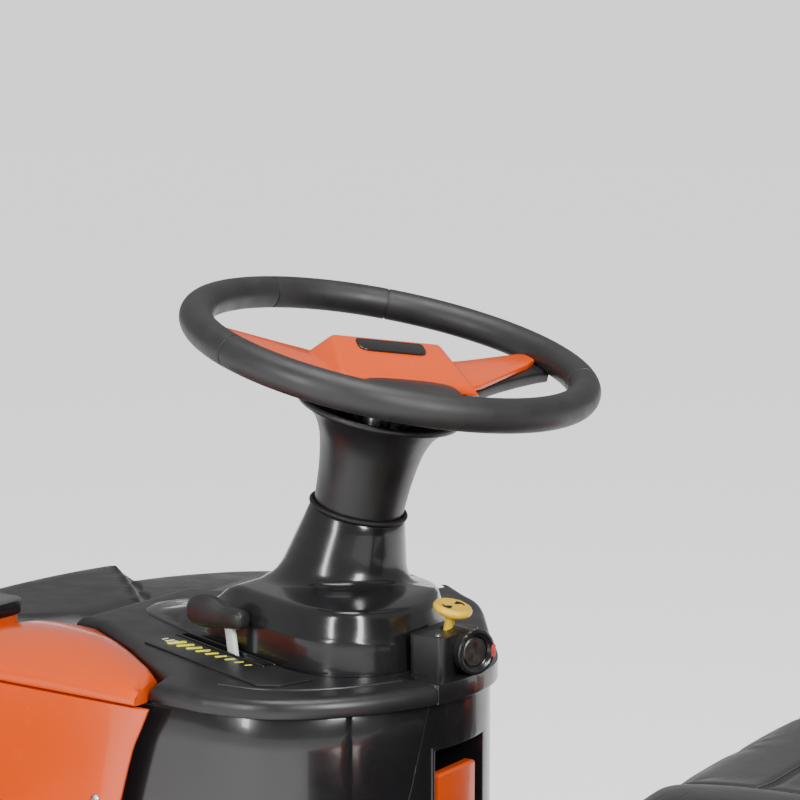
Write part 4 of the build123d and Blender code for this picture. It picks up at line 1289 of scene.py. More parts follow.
# ---- tower and deck
@dataclass
class Tower:
    """Rounded tower under the deck: walls, knee panel, deck plate, scale, lever and switches."""
    deck_low: float = 690.0
    deck_top: float = 706.0
    floor: float = 346.0
    rear: float = 32.0
    half: float = 224.0
    nose_x: float = 178.0
    wall_front: float = 284.0
    lip: float = 8.0
    panel: float = 6.0
    knee_left: float = 100.0
    knee_right: float = 40.0
    cut_x: float = 232.0
    knee_flare: float = 0.25
    slot_x: float = 231.0
    slot_y: float = 112.0
    slot_angle: float = -20.4

    def nose(self, inset: float, steps: int = 6) -> list[Pair]:
        """Rounded rear line, from the left front end round to the right front end.

        Args:
            inset: how far the line is drawn in.
            steps: steps between the guide points.

        Returns:
            Points of the line.
        """
        deep, wide = self.nose_x - self.rear, self.half
        left = [(self.nose_x, self.half), (135, 216), (102, 197), (68, 161), (40, 108), (self.rear, 52)]
        right = [(38, 14), (70, -38), (115, -102), (165, -170), (198.5, -197), (self.cut_x, -self.half)]
        guide = [(x + (self.nose_x - x) * inset / deep, y * (wide - inset) / wide) for x, y in left + right]
        return [tuple(p) for p in smooth_line(guide, steps)]

    def slot_place(self) -> Matrix:
        """Frame whose X runs along the lever's slot, on the deck."""
        return turned(frame_at((self.slot_x, self.slot_y, self.deck_top)), self.slot_angle)

    def deck(self) -> None:
        """The deck plate with its rounded lip, less the knee panel's part."""
        front = [(230, 222), (242, 189), (335, 123), (405, 82), (434, 80)]
        line = self.nose(0.0, 8)
        outline = line + [(x, -y) for x, y in front[1:]] + list(reversed(front))
        outline = anticlockwise(outline)
        rings = []
        for inset, z in ((2.5, self.deck_low + 0.2), (0.6, self.deck_low + 0.8), (0.0, self.deck_low + 2.2),
                         (0.0, self.deck_low + 7), (0.5, self.deck_low + 9.6), (1.8, self.deck_low + 12),
                         (4.0, self.deck_low + 14.2), (7.4, self.deck_low + 15.6), (12.0, self.deck_top)):
            rings.append([(x, y, z) for x, y in drawn_in(outline, inset)])
        body = loft("deck_plate", rings, crease=30)
        knee = box_piece("knee_gap", (0, -self.knee_right - 0.8, 600), (78.8, self.knee_left + 0.8, 760),
                         0.1)
        shaft_place = joint_place("steering_turn") @ Matrix.Translation((0, 0, -255))
        bore = revolve("bore", [(0, -60), (34, -60), (34, 60), (0, 60)], shaft_place, 48)
        slot = box_piece("slot_tool", (-52, -4, -40), (84, 4, 20), 0.1, self.slot_place())
        cut(body, knee, bore, slot)
        low = self.slot_place()
        ear = box_piece("ear", (-62, 4.2, -165), (2, 9.8, -15.5), 1.0, low)
        bead = [(x, y) for x, y in self.nose(0.0, 8) if y > 0]
        lines = []
        for x, y in bead:
            along = Vector((x - 215, y, 0))
            along.normalize()
            lines.append((x + along.x * -30, y - along.y * 30 * 1.0, self.deck_top + 0.1))
        rail = tube("deck_bead", [p for p in lines if p[1] > 104], 1.1, 8)
        stand_for(joined("deck_cover", [body, ear, rail], 32), Skin.SATIN, "deck")

    def wall(self) -> None:
        """Left and right tower walls with their seam grooves."""
        for side, node in ((1, "tower_wall_left"), (-1, "tower_wall_right")):
            outer, inner = self.nose(self.lip, 8), self.nose(self.lip + self.panel, 8)
            knee = self.knee_left
            if side < 0:
                outer, inner = ([(x, -y) for x, y in reversed(line)] for line in (outer, inner))
                knee = self.knee_right
            tail_out = [(self.wall_front, self.half - self.lip + 3)]
            tail_in = [(self.wall_front, self.half - self.lip - self.panel + 3)]
            zs = [self.floor + 1, self.floor + 3] + [self.floor + (self.deck_low - self.floor) * k / 12
                for k in range(1, 12)]
            zs += [self.deck_low - 2.2, self.deck_low - 0.8]
            rings = []
            for k, z in enumerate(zs):
                limit = knee + 0.8 + (self.deck_low - z) * self.knee_flare
                edge = 1.0 if k in (0, len(zs) - 1) else 0.0
                line = [p for p in outer if p[1] > limit + 4]
                back = [p for p in inner if p[1] > limit + 4]
                count = 44
                strip_out = self.resampled(tail_out + line + [self.at_y(outer, limit)], count)
                strip_in = self.resampled(tail_in + back + [self.at_y(inner, limit)], count)
                seam = [side > 0 and abs(y - 161) < 0.9 for _, y in strip_out]
                row = [(x + (edge + 0.6 * s) * 0.7, side * (y - (edge + 0.9 * s) * 0.7), z) for (x, y),
                       s in zip(strip_out, seam)]
                row += [(x, side * y, z) for x, y in reversed(strip_in)]
                rings.append(row)
            stand_for(loft("tower_skin_left" if side > 0 else "tower_skin_right", rings, crease=40),
                      Skin.GLOSS, node)

    @staticmethod
    def at_y(line: Sequence[Pair], y: float) -> Pair:
        """The point where a line that falls in y crosses a value."""
        for (x0, y0), (x1, y1) in zip(line, line[1:]):
            if y0 >= y >= y1:
                share = (y0 - y) / max(1e-9, y0 - y1)
                return (x0 + (x1 - x0) * share, y)
        return line[len(line) // 2]

    @staticmethod
    def resampled(line: Sequence[Pair], count: int) -> list[Pair]:
        """An open line at equal steps, with tight steps round the wall seam."""
        spots = [Vector(p) for p in line]
        lengths = [0.0]
        for a, b in zip(spots, spots[1:]):
            lengths.append(lengths[-1] + (b - a).length)
        seam = None
        for k, (a, b) in enumerate(zip(spots, spots[1:])):
            if a.y >= 161 >= b.y:
                seam = lengths[k] + (b - a).length * (a.y - 161) / max(1e-9, a.y - b.y)
        wants = [lengths[-1] * k / (count - 4) for k in range(count - 3)]
        if seam is not None:
            nearest = min(range(len(wants)), key=lambda i: abs(wants[i] - seam))
            wants[nearest:nearest + 1] = [seam - 1.6, seam - 0.9, seam, seam + 0.9]
        else:
            wants = [lengths[-1] * k / (count - 1) for k in range(count)]
        result, at = [], 0
        for want in wants[:count]:
            want = min(max(want, 0.0), lengths[-1])
            while at < len(lengths) - 2 and lengths[at + 1] < want:
                at += 1
            share = (want - lengths[at]) / max(1e-9, lengths[at + 1] - lengths[at])
            spot = spots[at].lerp(spots[at + 1], share)
            result.append((spot.x, spot.y))
        return result

    def scale(self) -> None:
        """Recessed scale plate with growing bars beside the slot."""
        outline = anticlockwise(rounded_outline([(-108, -7), (92, -7), (92, 32), (80, 40), (-96, 40),
            (-108, 26)], 4, 4))
        body = plate("scale_panel", outline, 0.05, 1.6, 0.7, 0.1, self.slot_place())
        cut(body, box_piece("slot_tool", (-52, -4, -40), (84, 4, 20), 0.1, self.slot_place()))
        stand_for(body, Skin.SATIN, "scale_plate")
        bars = [Spot((-40 + 12.5 * k, 10 + 0.55 * (3 + 1.9 * k), 1.5), along=(0.34, 1, 0),
                     size=0.42 + 0.085 * k) for k in range(9)]
        piece = REPEATER.spread("scale_bars", bar_shape(15, 5.5, 0.5, 0.2), placed(self.slot_place(), bars),
            Skin.PRINT)
        install(piece, Skin.PRINT, "chassis", "scale_print")
        marks = [Spot((62, 18, 1.5), along=(1, 0, 0), size=0.55), Spot((62, 24, 1.5), along=(1, 0, 0),
            size=0.55), Spot((70, 21, 1.5), along=(0, 1, 0), size=0.6), Spot((78, 21, 1.5), along=(0, 1, 0),
            size=0.4)]
        piece = REPEATER.spread("scale_symbol", bar_shape(15, 5.5, 0.5, 0.2), placed(self.slot_place(),
            marks), Skin.CREAM)
        install(piece, Skin.CREAM, "chassis", "scale_print")
        lips = []
        for side in (-1, 1):
            lips.append(box_piece("slot_lip", (-54, side * 5.2 - 0.8, 0.8), (86, side * 5.2 + 0.8, 3.0),
                0.6, self.slot_place()))
        install(joined("slot_rims", lips), Skin.GLOSS, "chassis", "black_gloss")

    def lever(self) -> None:
        """Grey bar and its paddle knob."""
        rounded_node("lift_lever", Skin.LEVER, 0.7)
        top = self.slot_place() @ Matrix.Translation((0, 0, 737 - self.deck_top))
        place = turned(top, 14.0)
        rows = [(-13, 0, 5, 5), (-11, 0, 7.5, 7), (-6, 0, 8.5, 8), (0, 0, 8.8, 8), (6, 0, 9, 7.2),
                (12, 0.5, 10.4, 7), (19, 1.6, 12.8, 7.8), (27, 2.4, 14.2, 8.4), (36, 2.4, 14.3, 8.4),
                (44, 1.6, 12.8, 7.6), (50, 0.8, 9.6, 6), (53, 0.6, 5.4, 3.6)]
        rings = [oval((x, 0, z), half, deep, Vector((0, 0, 1)), Vector((0, 1, 0)), 2.7, 28) for x, z, half,
                 deep in rows]
        knob = softened(loft("paddle_knob", rings, place), 1)
        stand_for(knob, Skin.GRIP, "lever_knob")

    def controls(self) -> None:
        """Switch block, key switch, push-pull knob and key."""
        rounded_node("control_block", Skin.SATIN, 2.2, 3)
        axis = joint_place("steering_turn").to_3x3().col[2]
        knob = frame_at((61, 50, 738), axis)
        cap = revolve("knob_cap", [(0, 13.6), (10, 13.6), (12.8, 14.4), (15.2, 16.2), (16.2, 18.2),
            (16.2, 19.6), (15.4, 21), (13.6, 21.9), (12.4, 21.7), (0, 21.5)], knob, 64, 35)
        stem = revolve("knob_stem", [(0, -14), (3.9, -14), (3.9, 9.6), (6.5, 11.6), (8.2, 13.8), (0, 13.8)],
                       knob, 32, 35)
        stand_for(joined("push_pull_knob", [cap, stem], 35), Skin.YELLOW, "parking_knob")
        arrows = []
        for side in (1, -1):
            flag = [(0, 3.4), (2.4, 8.6), (6.2, 7.2), (5.0, 9.8), (0.6, 11.4), (-3.4, 9.6), (-1.6, 3.8)]
            flag = anticlockwise([(side * x, side * y) for x, y in flag])
            arrows.append(plate("arrow", flag, 21.3, 22.0, 0.15, 0.05, knob))
        install(joined("turn_arrows", arrows), Skin.SEAL, "parking_knob", "black_matte")
        key = joint_place("key_turn")
        out = key.to_3x3().col[2]
        if out.x > 0:
            key = frame_at(key.translation, -out, (0, 0, 1))
        bezel = revolve("key_bezel", [(12.6, 8.2), (17.2, 8.2), (18.4, 9), (18.8, 10.6), (18.2, 12),
            (16.2, 12.4), (14.6, 11.6), (13.4, 10), (12.6, 9.4)], key, 72, 35)
        install(bezel, Skin.GLOSS, "chassis", "black_gloss")
        rotor = revolve("rotor", [(0, 2.6), (11.8, 2.6), (11.8, 8.8), (11.2, 9.4), (0, 9.4)], key, 48, 30)
        slot_cut = box_piece("slit", (-7, -0.9, 8.2), (7, 0.9, 12), 0.1, key)
        cut(rotor, slot_cut)
        blade = plate("blade", anticlockwise(rounded_outline([(9.2, -6.5), (20, -8), (24, -5), (24, 5),
            (20, 8), (9.2, 6.5)], 3, 4)), -1.1, 1.1, 0.5, 0.5, key @ Matrix.Rotation(radians(-90), 4,
            "Y") @ Matrix.Rotation(pi, 4, "Z"))
        stand_for(joined("switch_key", [rotor, blade], 35), Skin.CHAIN, "key_rotor")
        tag = plate("key_tag", anticlockwise(rounded_outline([(-2.6, -3), (2.6, -3), (2.6, 7), (-2.6, 7)],
            1.8, 4)), -0.6, 0.6, 0.3, 0.3, frame_at(key @ Vector((0, -9.5, 21)), (1, 0, 0), (0, 1, 0)))
        install(tag, Skin.RED, "key", "knob_yellow")
        heads = [Spot((56, 73, 738), (0, 0.1, 1)), Spot((45.7, 26, 720), (-1, 0, 0)), Spot((70, 30, 738),
            (0, 0, 1))]
        screws("block_screws", heads, "chassis", radius=2.6, skin=Skin.CHROME)

    def build(self) -> None:
        """Make the tower from the walls up."""
        self.deck()
        self.wall()
        rounded_node("knee_panel", Skin.GLOSS, 2.2, 3)
        rounded_node("release_paddle", Skin.ORANGE, 3.0, 3)
        self.scale()
        self.lever()
        self.controls()


# ---- front body
@dataclass
class FrontBody:
    """Black hood, front shell, filler, fenders, side panels, lamps and bumper."""
    rear: float = 440.0
    front: float = 742.0
    side_y: float = 238.0
    rows: tuple[tuple[float, ...], ...] = ((440, 450, 638, 680), (520, 450, 638, 680), (600, 446, 636, 678),
        (680, 404, 612, 656), (742, 310, 580, 612))
    crown: tuple[tuple[float, ...], ...] = ((440, 14, 10), (470, 44, 17), (600, 164, 20), (690, 188, 12),
        (735, 180, 0))

    def hood_height(self, x: float, y: float) -> float:
        """Height of the hood's skin.

        Args:
            x: place along the machine.
            y: place across it.

        Returns:
            The height.
        """
        half, edge, centre = (eased([(r[0], r[k]) for r in self.rows], x, 14) for k in (1, 2, 3))
        base = edge + (centre - edge) * (1 - min(1.0, abs(y) / half) ** 2)
        reach, rise = (between([(c[0], c[k]) for c in self.crown], x) for k in (1, 2))
        slope = min(1.0, max(0.0, (reach + 24 - abs(y)) / 24))
        slope = slope if 0.1 < slope < 0.9 else (slope / 0.1) ** 2 * 0.1 if slope <= 0.1 else 1 - ((1
            - slope) / 0.1) ** 2 * 0.1
        return base + max(0.0, rise) * slope

    def hood(self) -> None:
        """Skin of the hood as one raised and rounded sheet with walls."""
        stations = [self.rear + 0.2, 442, 446, 452] + [460 + 9 * k for k in range(24)]
        stations += [676, 684, 692, 700, 708, 716, 723, 729, 734, 738, 740.5, 741.8]
        across = [sin(radians(90 * k / 64)) for k in range(-64, 65)]
        rings = []
        for k, x in enumerate(stations):
            half = eased([(r[0], r[1]) for r in self.rows], x, 14)
            round_off = max(0.0, (x - 700) / 42) ** 2.4 * 34
            rear_off = 3.0 * max(0.0, (452 - x) / 12) ** 2
            row = []
            for s in across:
                y = half * s
                z = self.hood_height(x, y) - round_off - rear_off
                fall = max(0.0, (abs(s) - 0.93) / 0.07)
                z -= 16 * fall ** 2.2
                row.append((x, y, z))
            row += [(x, half, 566), (x, half - 0.4, 561), (x, half - 6, 560.4), (x, half - 6, 566)]
            row += [(x, (half - 6) * s, self.hood_height(x, (half - 6) * s) - round_off - 14)
                    for s in reversed(across[::8])]
            row += [(x, -half + 6, 566), (x, -half + 6, 560.4), (x, -half + 0.4, 561), (x, -half, 566)]
            rings.append(row)
        hood = loft("hood_skin", rings, crease=32)
        low, high = box_mm("water_tank_filler")
        well = box_piece("well", (low.x - 0.3, low.y - 0.3, 500), (640.3, high.y + 0.3, 800), 17.0)
        cut(hood, well)
        stand_for(hood, Skin.SATIN, "hood_cover")
        light = [Spot((458, side * y, self.hood_height(458, y) + 0.2), (0, 0, 1)) for side in (1,
            -1) for y in (260, 400)]
        screws("hood_screws", light, "chassis", radius=5, skin=Skin.FRAME, slot="frame_paint")

    def fender(self) -> None:
        """Orange crest over the left side panel; the right fender is its frame node, rounded, in black gloss."""
        rows = [(233, 225, 231, 703, 700), (236, 216, 226, 705, 701), (244, 196, 214, 708, 702),
                (262, 180, 204, 712, 702), (298, 153, 189, 716.5, 702.6), (335, 127, 177, 719.5, 703),
                (370, 106, 174, 719.5, 702), (405, 87, 172, 718, 701), (432.5, 84.5, 170, 716, 699),
                (434, 86, 170, 714, 697)]
        rings = []
        for x, inner, crest_y, crest_z, shoulder in rows:
            outer = self.side_y
            section = [(inner, 690.3), (inner, 697), (inner + 1.2, 700.5)]
            line = [(inner + 1.2, 700.5), ((inner + crest_y) / 2 - 2, 700.5 + (crest_z - 700.5) * 0.72),
                    (crest_y, crest_z), ((crest_y + outer) / 2, (crest_z + shoulder) / 2 + 2.6),
                    (outer - 5, shoulder + 0.4), (outer - 0.8, shoulder - 3.8), (outer, shoulder - 9)]
            section += smooth_line(line, 5)[1:]
            section += [(outer, 692), (outer - 1.2, 690.6), (outer - 6, 690.3)]
            rings.append([(x, y, z) for y, z in section])
        left = loft("fender_crest_left", rings, crease=34)
        stand_for(left, Skin.ORANGE, "fender_left")
        rounded_node("fender_right", Skin.GLOSS, 1.4, 3)

    def side_panel(self) -> None:
        """Large orange side panels with a rolled, slanted rear edge."""
        edge = [(222, 688.8), (231, 670), (240, 651), (253, 608), (266, 560), (276, 520), (289, 466),
                (300, 420), (307, 386), (314, 350)]
        edge = smooth_line(edge, 3)
        stations = [0.0, 0.012, 0.035, 0.07, 0.12, 0.2, 0.35, 0.5, 0.65, 0.8, 0.9, 0.97, 0.992, 1.0]
        swell = [(0.0, -3.4), (0.012, -1.5), (0.035, -0.5), (0.07, 0.0), (0.5, 0.5), (0.97, 0.0),
                 (0.992, -0.4), (1.0, -1.4)]
        rings = []
        for x0, z in edge:
            out = [(x0 + (self.rear - 0.6 - x0) * s, self.side_y + between(swell, s) - 0.4,
                    z) for s in stations]
            back = [(x, self.side_y - 5.6, z) for x, _, _ in reversed(out)]
            rings.append(out + back)
        left = loft("side_skin_left", rings, crease=34)
        inset = [(x0 + 22, z) for x0, z in edge if 380 < z < 640]
        right = flipped(left, "side_skin_right")
        stand_for(left, Skin.ORANGE, "side_panel_left")
        stand_for(right, Skin.ORANGE, "side_panel_right")
        for side in (1, -1):
            spots = [Spot((x, side * self.side_y, z), (0, side, 0)) for x, z in (inset[2], inset[-3])]
            spots += [Spot((424, side * self.side_y, z), (0, side, 0)) for z in (400, 640)]
            screws("panel_screws_left" if side > 0 else "panel_screws_right", spots, "chassis", radius=4.4)

    def shell(self) -> None:
        """Front shell, lamps, bumper and the ribs on the bumper."""
        rounded_node("front_shell", Skin.ORANGE, 1.6, 2)
        rounded_node("headlamps", Skin.GLOSS, 1.0, 2)
        rounded_node("front_bumper", Skin.SEAL, 3.4, 3)
        low, high = box_mm("headlamps")
        for side, name in ((1, "left"), (-1, "right")):
            y, z = side * 215.0, (low.z + high.z) / 2
            place = frame_at((0, y, z), (1, 0, 0), (0, 0, 1))
            glass = revolve("glass", [(0, high.x + 1.8), (16, high.x + 1.4), (32, high.x + 0.2),
                (45, high.x - 2.8), (47.6, high.x - 4.4), (47.6, high.x - 6), (0, high.x - 2.8)], place, 64,
                            40)
            install(glass, Skin.LAMP, "chassis", "lamp_trim")
            glass.name = "lamp_glass_" + name
            bowl = smooth_line([(14, high.x - 36), (26, high.x - 33), (38, high.x - 25),
                                (45.5, high.x - 12), (47, high.x - 7)], 4)
            wall = [(r + 1.6, x - 1.0) for r, x in reversed(bowl)]
            cup = revolve("lamp_mirror_" + name, bowl + wall, place, 64, 50)
            install(cup, Skin.CHROME, "chassis", "lamp_trim")
            bulb = revolve("lamp_bulb_" + name, smooth_line([(0, high.x - 37), (9, high.x - 37),
                (10, high.x - 30), (8.4, high.x - 23), (5, high.x - 19.4), (0, high.x - 18.4)], 4), place,
                           32, 50)
            install(bulb, Skin.CHROME, "chassis", "lamp_trim")
        ribs = [Spot((high.x + 3.4, y, 296), (1, 0, 0), (0, 0, 1)) for y in range(-250, 251, 25)]
        bar = REPEATER.spread("bumper_ribs", bar_shape(50, 8, 1.6), ribs, Skin.SEAL)
        install(bar, Skin.SEAL, "chassis", "bumper_rubber")

    def filler(self) -> None:
        """Orange filler block with the hinged cap."""
        rounded_node("water_tank_filler", Skin.ORANGE, 2.4, 3)
        rounded_node("filler_cap", Skin.GLOSS, 3.2, 3)
        low, high = box_mm("filler_cap")
        ribs = [Spot((low.x + 30 + 15 * k, (low.y + high.y) / 2, high.z - 0.1), along=(0, 1, 0))
                for k in range(9)]
        grip = REPEATER.spread("cap_ribs", bar_shape(120, 4, 1.2), ribs, Skin.SATIN)
        install(grip, Skin.SATIN, "filler_cap", "black_matte")

    def build(self) -> None:
        """Make the whole front."""
        self.hood()
        self.fender()
        self.side_panel()
        self.shell()
        self.filler()


# ---- wheels
@dataclass
class Wheel:
    """One wheel: tread, rim and nuts, about its spin axis."""
    label: str
    joint: str
    radius: float
    width: float
    seat: float
    body: str
    outward: int
    lugs: int = 44

    def place(self) -> Matrix:
        """Frame whose Z is the spin axis, turned outward."""
        place = joint_place(self.joint)
        low, high = box_mm(self.tyre_node())
        axis = place.to_3x3().col[2]
        if axis.y * self.outward < 0:
            axis = -axis
        return frame_at((low + high) / 2, axis, (0, 0, 1))

    def tyre_node(self) -> str:
        """Name of the frame's tyre."""
        return self.label.replace("wheel", "tyre") if "rear" in self.label else "front_tyre"

    def build(self) -> None:
        """Make the tyre with its lugs, the rim and the nuts."""
        place, half = self.place(), self.width / 2
        depth = 3.6
        base = self.radius - depth
        flank = smooth_line([(self.seat, half - 6), (self.seat + 6, half - 1.2), (self.seat + 14, half),
            (base - 16, half - 0.6), (base - 6, half - 5), (base, half - 15)], 4)
        profile = flank + [(base, 0)] + [(r, -z) for r, z in reversed(flank)]
        tyre = revolve(self.label + "_tread_base", profile, place, 120, 45)
        lugs = []
        for row, tilt in ((-1, 0.35), (1, -0.35)):
            for k in range(self.lugs):
                turn = 2 * pi * (k + (0.5 if row > 0 else 0)) / self.lugs
                facing = (cos(turn), sin(turn), 0)
                tangent = (-sin(turn) * tilt, cos(turn) * tilt, 1)
                lugs.append(Spot((cos(turn) * (base - 0.1), sin(turn) * (base - 0.1), row * half * 0.42),
                                 facing, tangent))
        pitch = 2 * pi * base / self.lugs
        pattern = REPEATER.spread("lugs", bar_shape(half * 0.8, pitch * 0.62, depth + 0.05, 1.1),
            placed(place, lugs), Skin.TYRE)
        whole = joined(self.label + "_tyre", [tyre, pattern], 40)
        stand_for(whole, Skin.TYRE, self.tyre_node())
        rim_node = self.tyre_node().replace("tyre", "rim")
        rounded_node(rim_node, Skin.RIM, 1.4, 2)
        nuts = [Spot((24 * cos(a), 24 * sin(a), 6), (0, 0, 1)) for a in (2 * pi * k / 5 for k in range(5))]
        nut = revolve("nut_template", [(0, -1), (4.6, -1), (4.6, 3.4), (3.6, 4.4), (0, 4.4)], None, 6, 20)
        if self.seat > 80:
            studs = REPEATER.spread(self.label + "_nuts", nut,
                placed(place, [Spot((n.at[0] * 1.35, n.at[1] * 1.35, 6)) for n in nuts]), Skin.STEEL,
                crease=25)
            install(studs, Skin.STEEL, self.body, "bare_steel")
        else:
            bpy.data.objects.remove(nut)


# ---- running gear
@dataclass
class RunningGear:
    """Chassis, fork, chain, axles and wheels."""
    small_pitch_radius: float = 24.535
    large_pitch_radius: float = 72.857
    chain_pitch: float = 12.7

    def chain(self) -> None:
        """Link plates of the steering chain, standing for the plain loop."""
        low, high = box_mm("steering_chain")
        small, large = self.small_pitch_radius, self.large_pitch_radius
        left, right = joint_place("lower_shaft_turn").translation.x, joint_place("fork_steer").translation.x
        lean = (large - small) / (right - left)
        turn = math.degrees(acos(lean))
        path = arc(left, 0, small, 180 - turn, 180 + turn, 40) + arc(right, 0, large, 180 + turn,
            540 - turn, 120)
        whole = sum((Vector(a) - Vector(b)).length for a, b in zip(path, path[1:] + path[:1]))
        count = 2 * round(whole / self.chain_pitch / 2)
        stops = even(path, count)
        middle = (low.z + high.z) / 2
        spots = {True: [], False: []}
        for k, (x, y) in enumerate(stops):
            nx, ny = stops[(k + 1) % count]
            heading = (nx - x, ny - y, 0)
            spots[k % 2 == 0].append(Spot(((x + nx) / 2, (y + ny) / 2, middle), along=heading))
        pieces = []
        for outer, group in spots.items():
            gap = 3.6 if outer else 2.6
            plates = []
            for z in (gap, -gap):
                ends = arc(6.2, 0, 4.4, -70, 70, 5) + [(0, 3.1)] + arc(-6.2, 0, 4.4, 110, 250,
                    5) + [(0, -3.1)]
                plates.append(plate("link_plate", anticlockwise(ends), z - 0.45, z + 0.45, 0.15, 0.15,
                                    steps=1))
            if outer:
                for x in (-6.35, 6.35):
                    plates.append(revolve("pin", [(0, -4.8), (1.9, -4.8), (1.9, 4.8), (0, 4.8)],
                        Matrix.Translation((x, 0, 0)), 8))
            pieces.append(REPEATER.spread("links", joined("link_template", plates), group, Skin.CHAIN))
        stand_for(joined("steering_chain_links", pieces, 30), Skin.CHAIN, "steering_chain")

    def build(self) -> None:
        """Make the running gear and the wheels."""
        rounded_node("chassis_frame", Skin.FRAME, 1.2, 2)
        rounded_node("front_fork", Skin.FRAME, 2.0, 2)
        rounded_node("fork_sprocket", Skin.CHAIN, 0.5, 1)
        rounded_node("lower_shaft", Skin.STEEL, 0.6, 1)
        rounded_node("rear_axles", Skin.STEEL, 0.9, 2)
        self.chain()
        Wheel("front_wheel", "front_wheel_spin", 125.0, 80.0, 78.0, "front_wheel", 1, 38).build()
        Wheel("rear_wheel_left", "rear_wheel_left_spin", 150.0, 80.0, 95.0, "rear_wheel_left", 1).build()
        Wheel("rear_wheel_right", "rear_wheel_right_spin", 150.0, 80.0, 95.0, "rear_wheel_right", -1).build()


# ---- floor
@dataclass
class Floor:
    """Footplate with its tread bars and the two pedals."""
    pitch: float = 26.0

    def build(self) -> None:
        """Make the floor and pedals."""
        rounded_node("footplate", Skin.FRAME, 1.6, 2)
        low, high = box_mm("footplate")
        top = 346.0
        spots = []
        for row, x in enumerate(int(low.x) + 30 + k * 21 for k in range(15)):
            for k in range(-15, 16):
                y = k * self.pitch + (self.pitch / 2 if row % 2 else 0)
                inside = abs(y) < high.y - 30 and x < 300
                clear = not (-24 < x - 32 < 260 and abs(y) < 232) and not (abs(abs(y) - 320) < 60
                    and x > 296)
                if inside and clear:
                    spots.append(Spot((x, y, top), along=(1, 1 if (row + k) % 2 else -1, 0)))
        bars = REPEATER.spread("floor_tread", bar_shape(20, 5, 1.8, 0.9), spots, Skin.SEAL)
        install(bars, Skin.SEAL, "chassis", "black_matte")
        for node, joint in (("brake_pedal", "brake_press"), ("accelerator_pedal", "accelerator_press")):
            rounded_node(node, Skin.FRAME, 1.2, 2)
            place = joint_place(joint)
            at = place.translation
            rise = radians(38)
            along = Vector((cos(rise), 0, sin(rise)))
            up = Vector((-along.z, 0, along.x))
            ribs = [Spot(tuple(at + along * (20 + 11 * k) + up * 4), tuple(up), (0, 1, 0)) for k in range(8)]
            pad = REPEATER.spread(node + "_ribs", bar_shape(66, 6.2, 2.6, 1.2), ribs, Skin.SEAL)
            install(pad, Skin.SEAL, BODY_OF[node], "grip_rubber")


# ---- brushes
@dataclass
class Brushes:
    """Main broom, its arms and housing, and both side brushes."""
    rows: int = 12
    per_row: int = 60

    def main(self) -> None:
        """Chevron rows of tufts on the broom's core."""
        low, high = box_mm("main_broom")
        centre = Vector(((low.x + high.x) / 2, 0, (low.z + high.z) / 2))
        place = frame_at(centre, (0, 1, 0), (0, 0, 1))
        core_line = [(0, -300), (12, -300), (12, -281), (38, -281), (40, -278), (40, 278), (38, 281),
                     (12, 281), (12, 300), (0, 300)]
        core = revolve("broom_core", core_line, place, 48, 35)
        install(core, Skin.FRAME, "main_broom", "frame_paint")
        spots = []
        for row in range(self.rows):
            for k in range(self.per_row):
                z = -274 + 548 * k / (self.per_row - 1)
                turn = 2 * pi * row / self.rows + 0.5 * (1 - abs(z) / 280)
                out = (cos(turn), sin(turn), 0)
                spots.append(Spot((out[0] * 39, out[1] * 39, z), out, (-out[1], out[0], 0)))
        tufts = REPEATER.spread("broom_tufts", needles(9, 80.5, 5.5, 1.9, 3.0, 5), placed(place, spots),
            Skin.BRISTLE, 0.03, 0.012, 7, 60)
        install(tufts, Skin.BRISTLE, "main_broom", "bristle", "main_broom")

    def side(self, side: int, label: str) -> None:
        """Disc and splayed tufts of one side brush."""
        joint = joint_place(f"side_brush_{label}_spin")
        at = joint.translation
        place = frame_at((at.x, at.y, 0))
        disc = revolve("side_disc_" + label, [(12.4, 96), (64, 94), (70, 97), (71, 101), (69, 105),
            (60, 108), (30, 112), (27, 116), (26, 138), (24, 140), (12.4, 140)], place, 72, 35)
        install(disc, Skin.FRAME, "side_brush_" + label, "black_matte")
        spots = []
        for count, radius, lean in ((22, 62, 0.62), (18, 46, 0.78)):
            for k in range(count):
                turn = 2 * pi * k / count
                out = Vector((cos(turn), sin(turn), 0))
                drop = out * cos(lean) + Vector((0, 0, -sin(lean)))
                spots.append(Spot(tuple(out * radius + Vector((0, 0, 97))), tuple(drop), (0, 0, -1),
                                  1.0 if radius > 50 else 0.86))
        length = 138.0
        tufts = REPEATER.spread("side_tufts_" + label, needles(22, length, 12, 2.0, -2.0, 11 + side, 3),
            placed(place, spots), Skin.BRISTLE, 0.03, 0.01, 9, 60)
        install(tufts, Skin.BRISTLE, "side_brush_" + label, "bristle", "side_brush_" + label)
        bolts = [Spot((20 * cos(a), 20 * sin(a), 140.2)) for a in (2 * pi * k / 4 for k in range(4))]
        screws("side_bolts_" + label, placed(place, bolts), "side_brush_" + label, radius=3.0)

    def build(self) -> None:
        """Make the brushes."""
        rounded_node("broom_arms", Skin.FRAME, 1.4, 2)
        rounded_node("brush_housing", Skin.SATIN, 1.4, 2)
        self.main()
        for side, label in ((1, "left"), (-1, "right")):
            rounded_node("side_arm_" + label, Skin.FRAME, 1.6, 2)
            self.side(side, label)


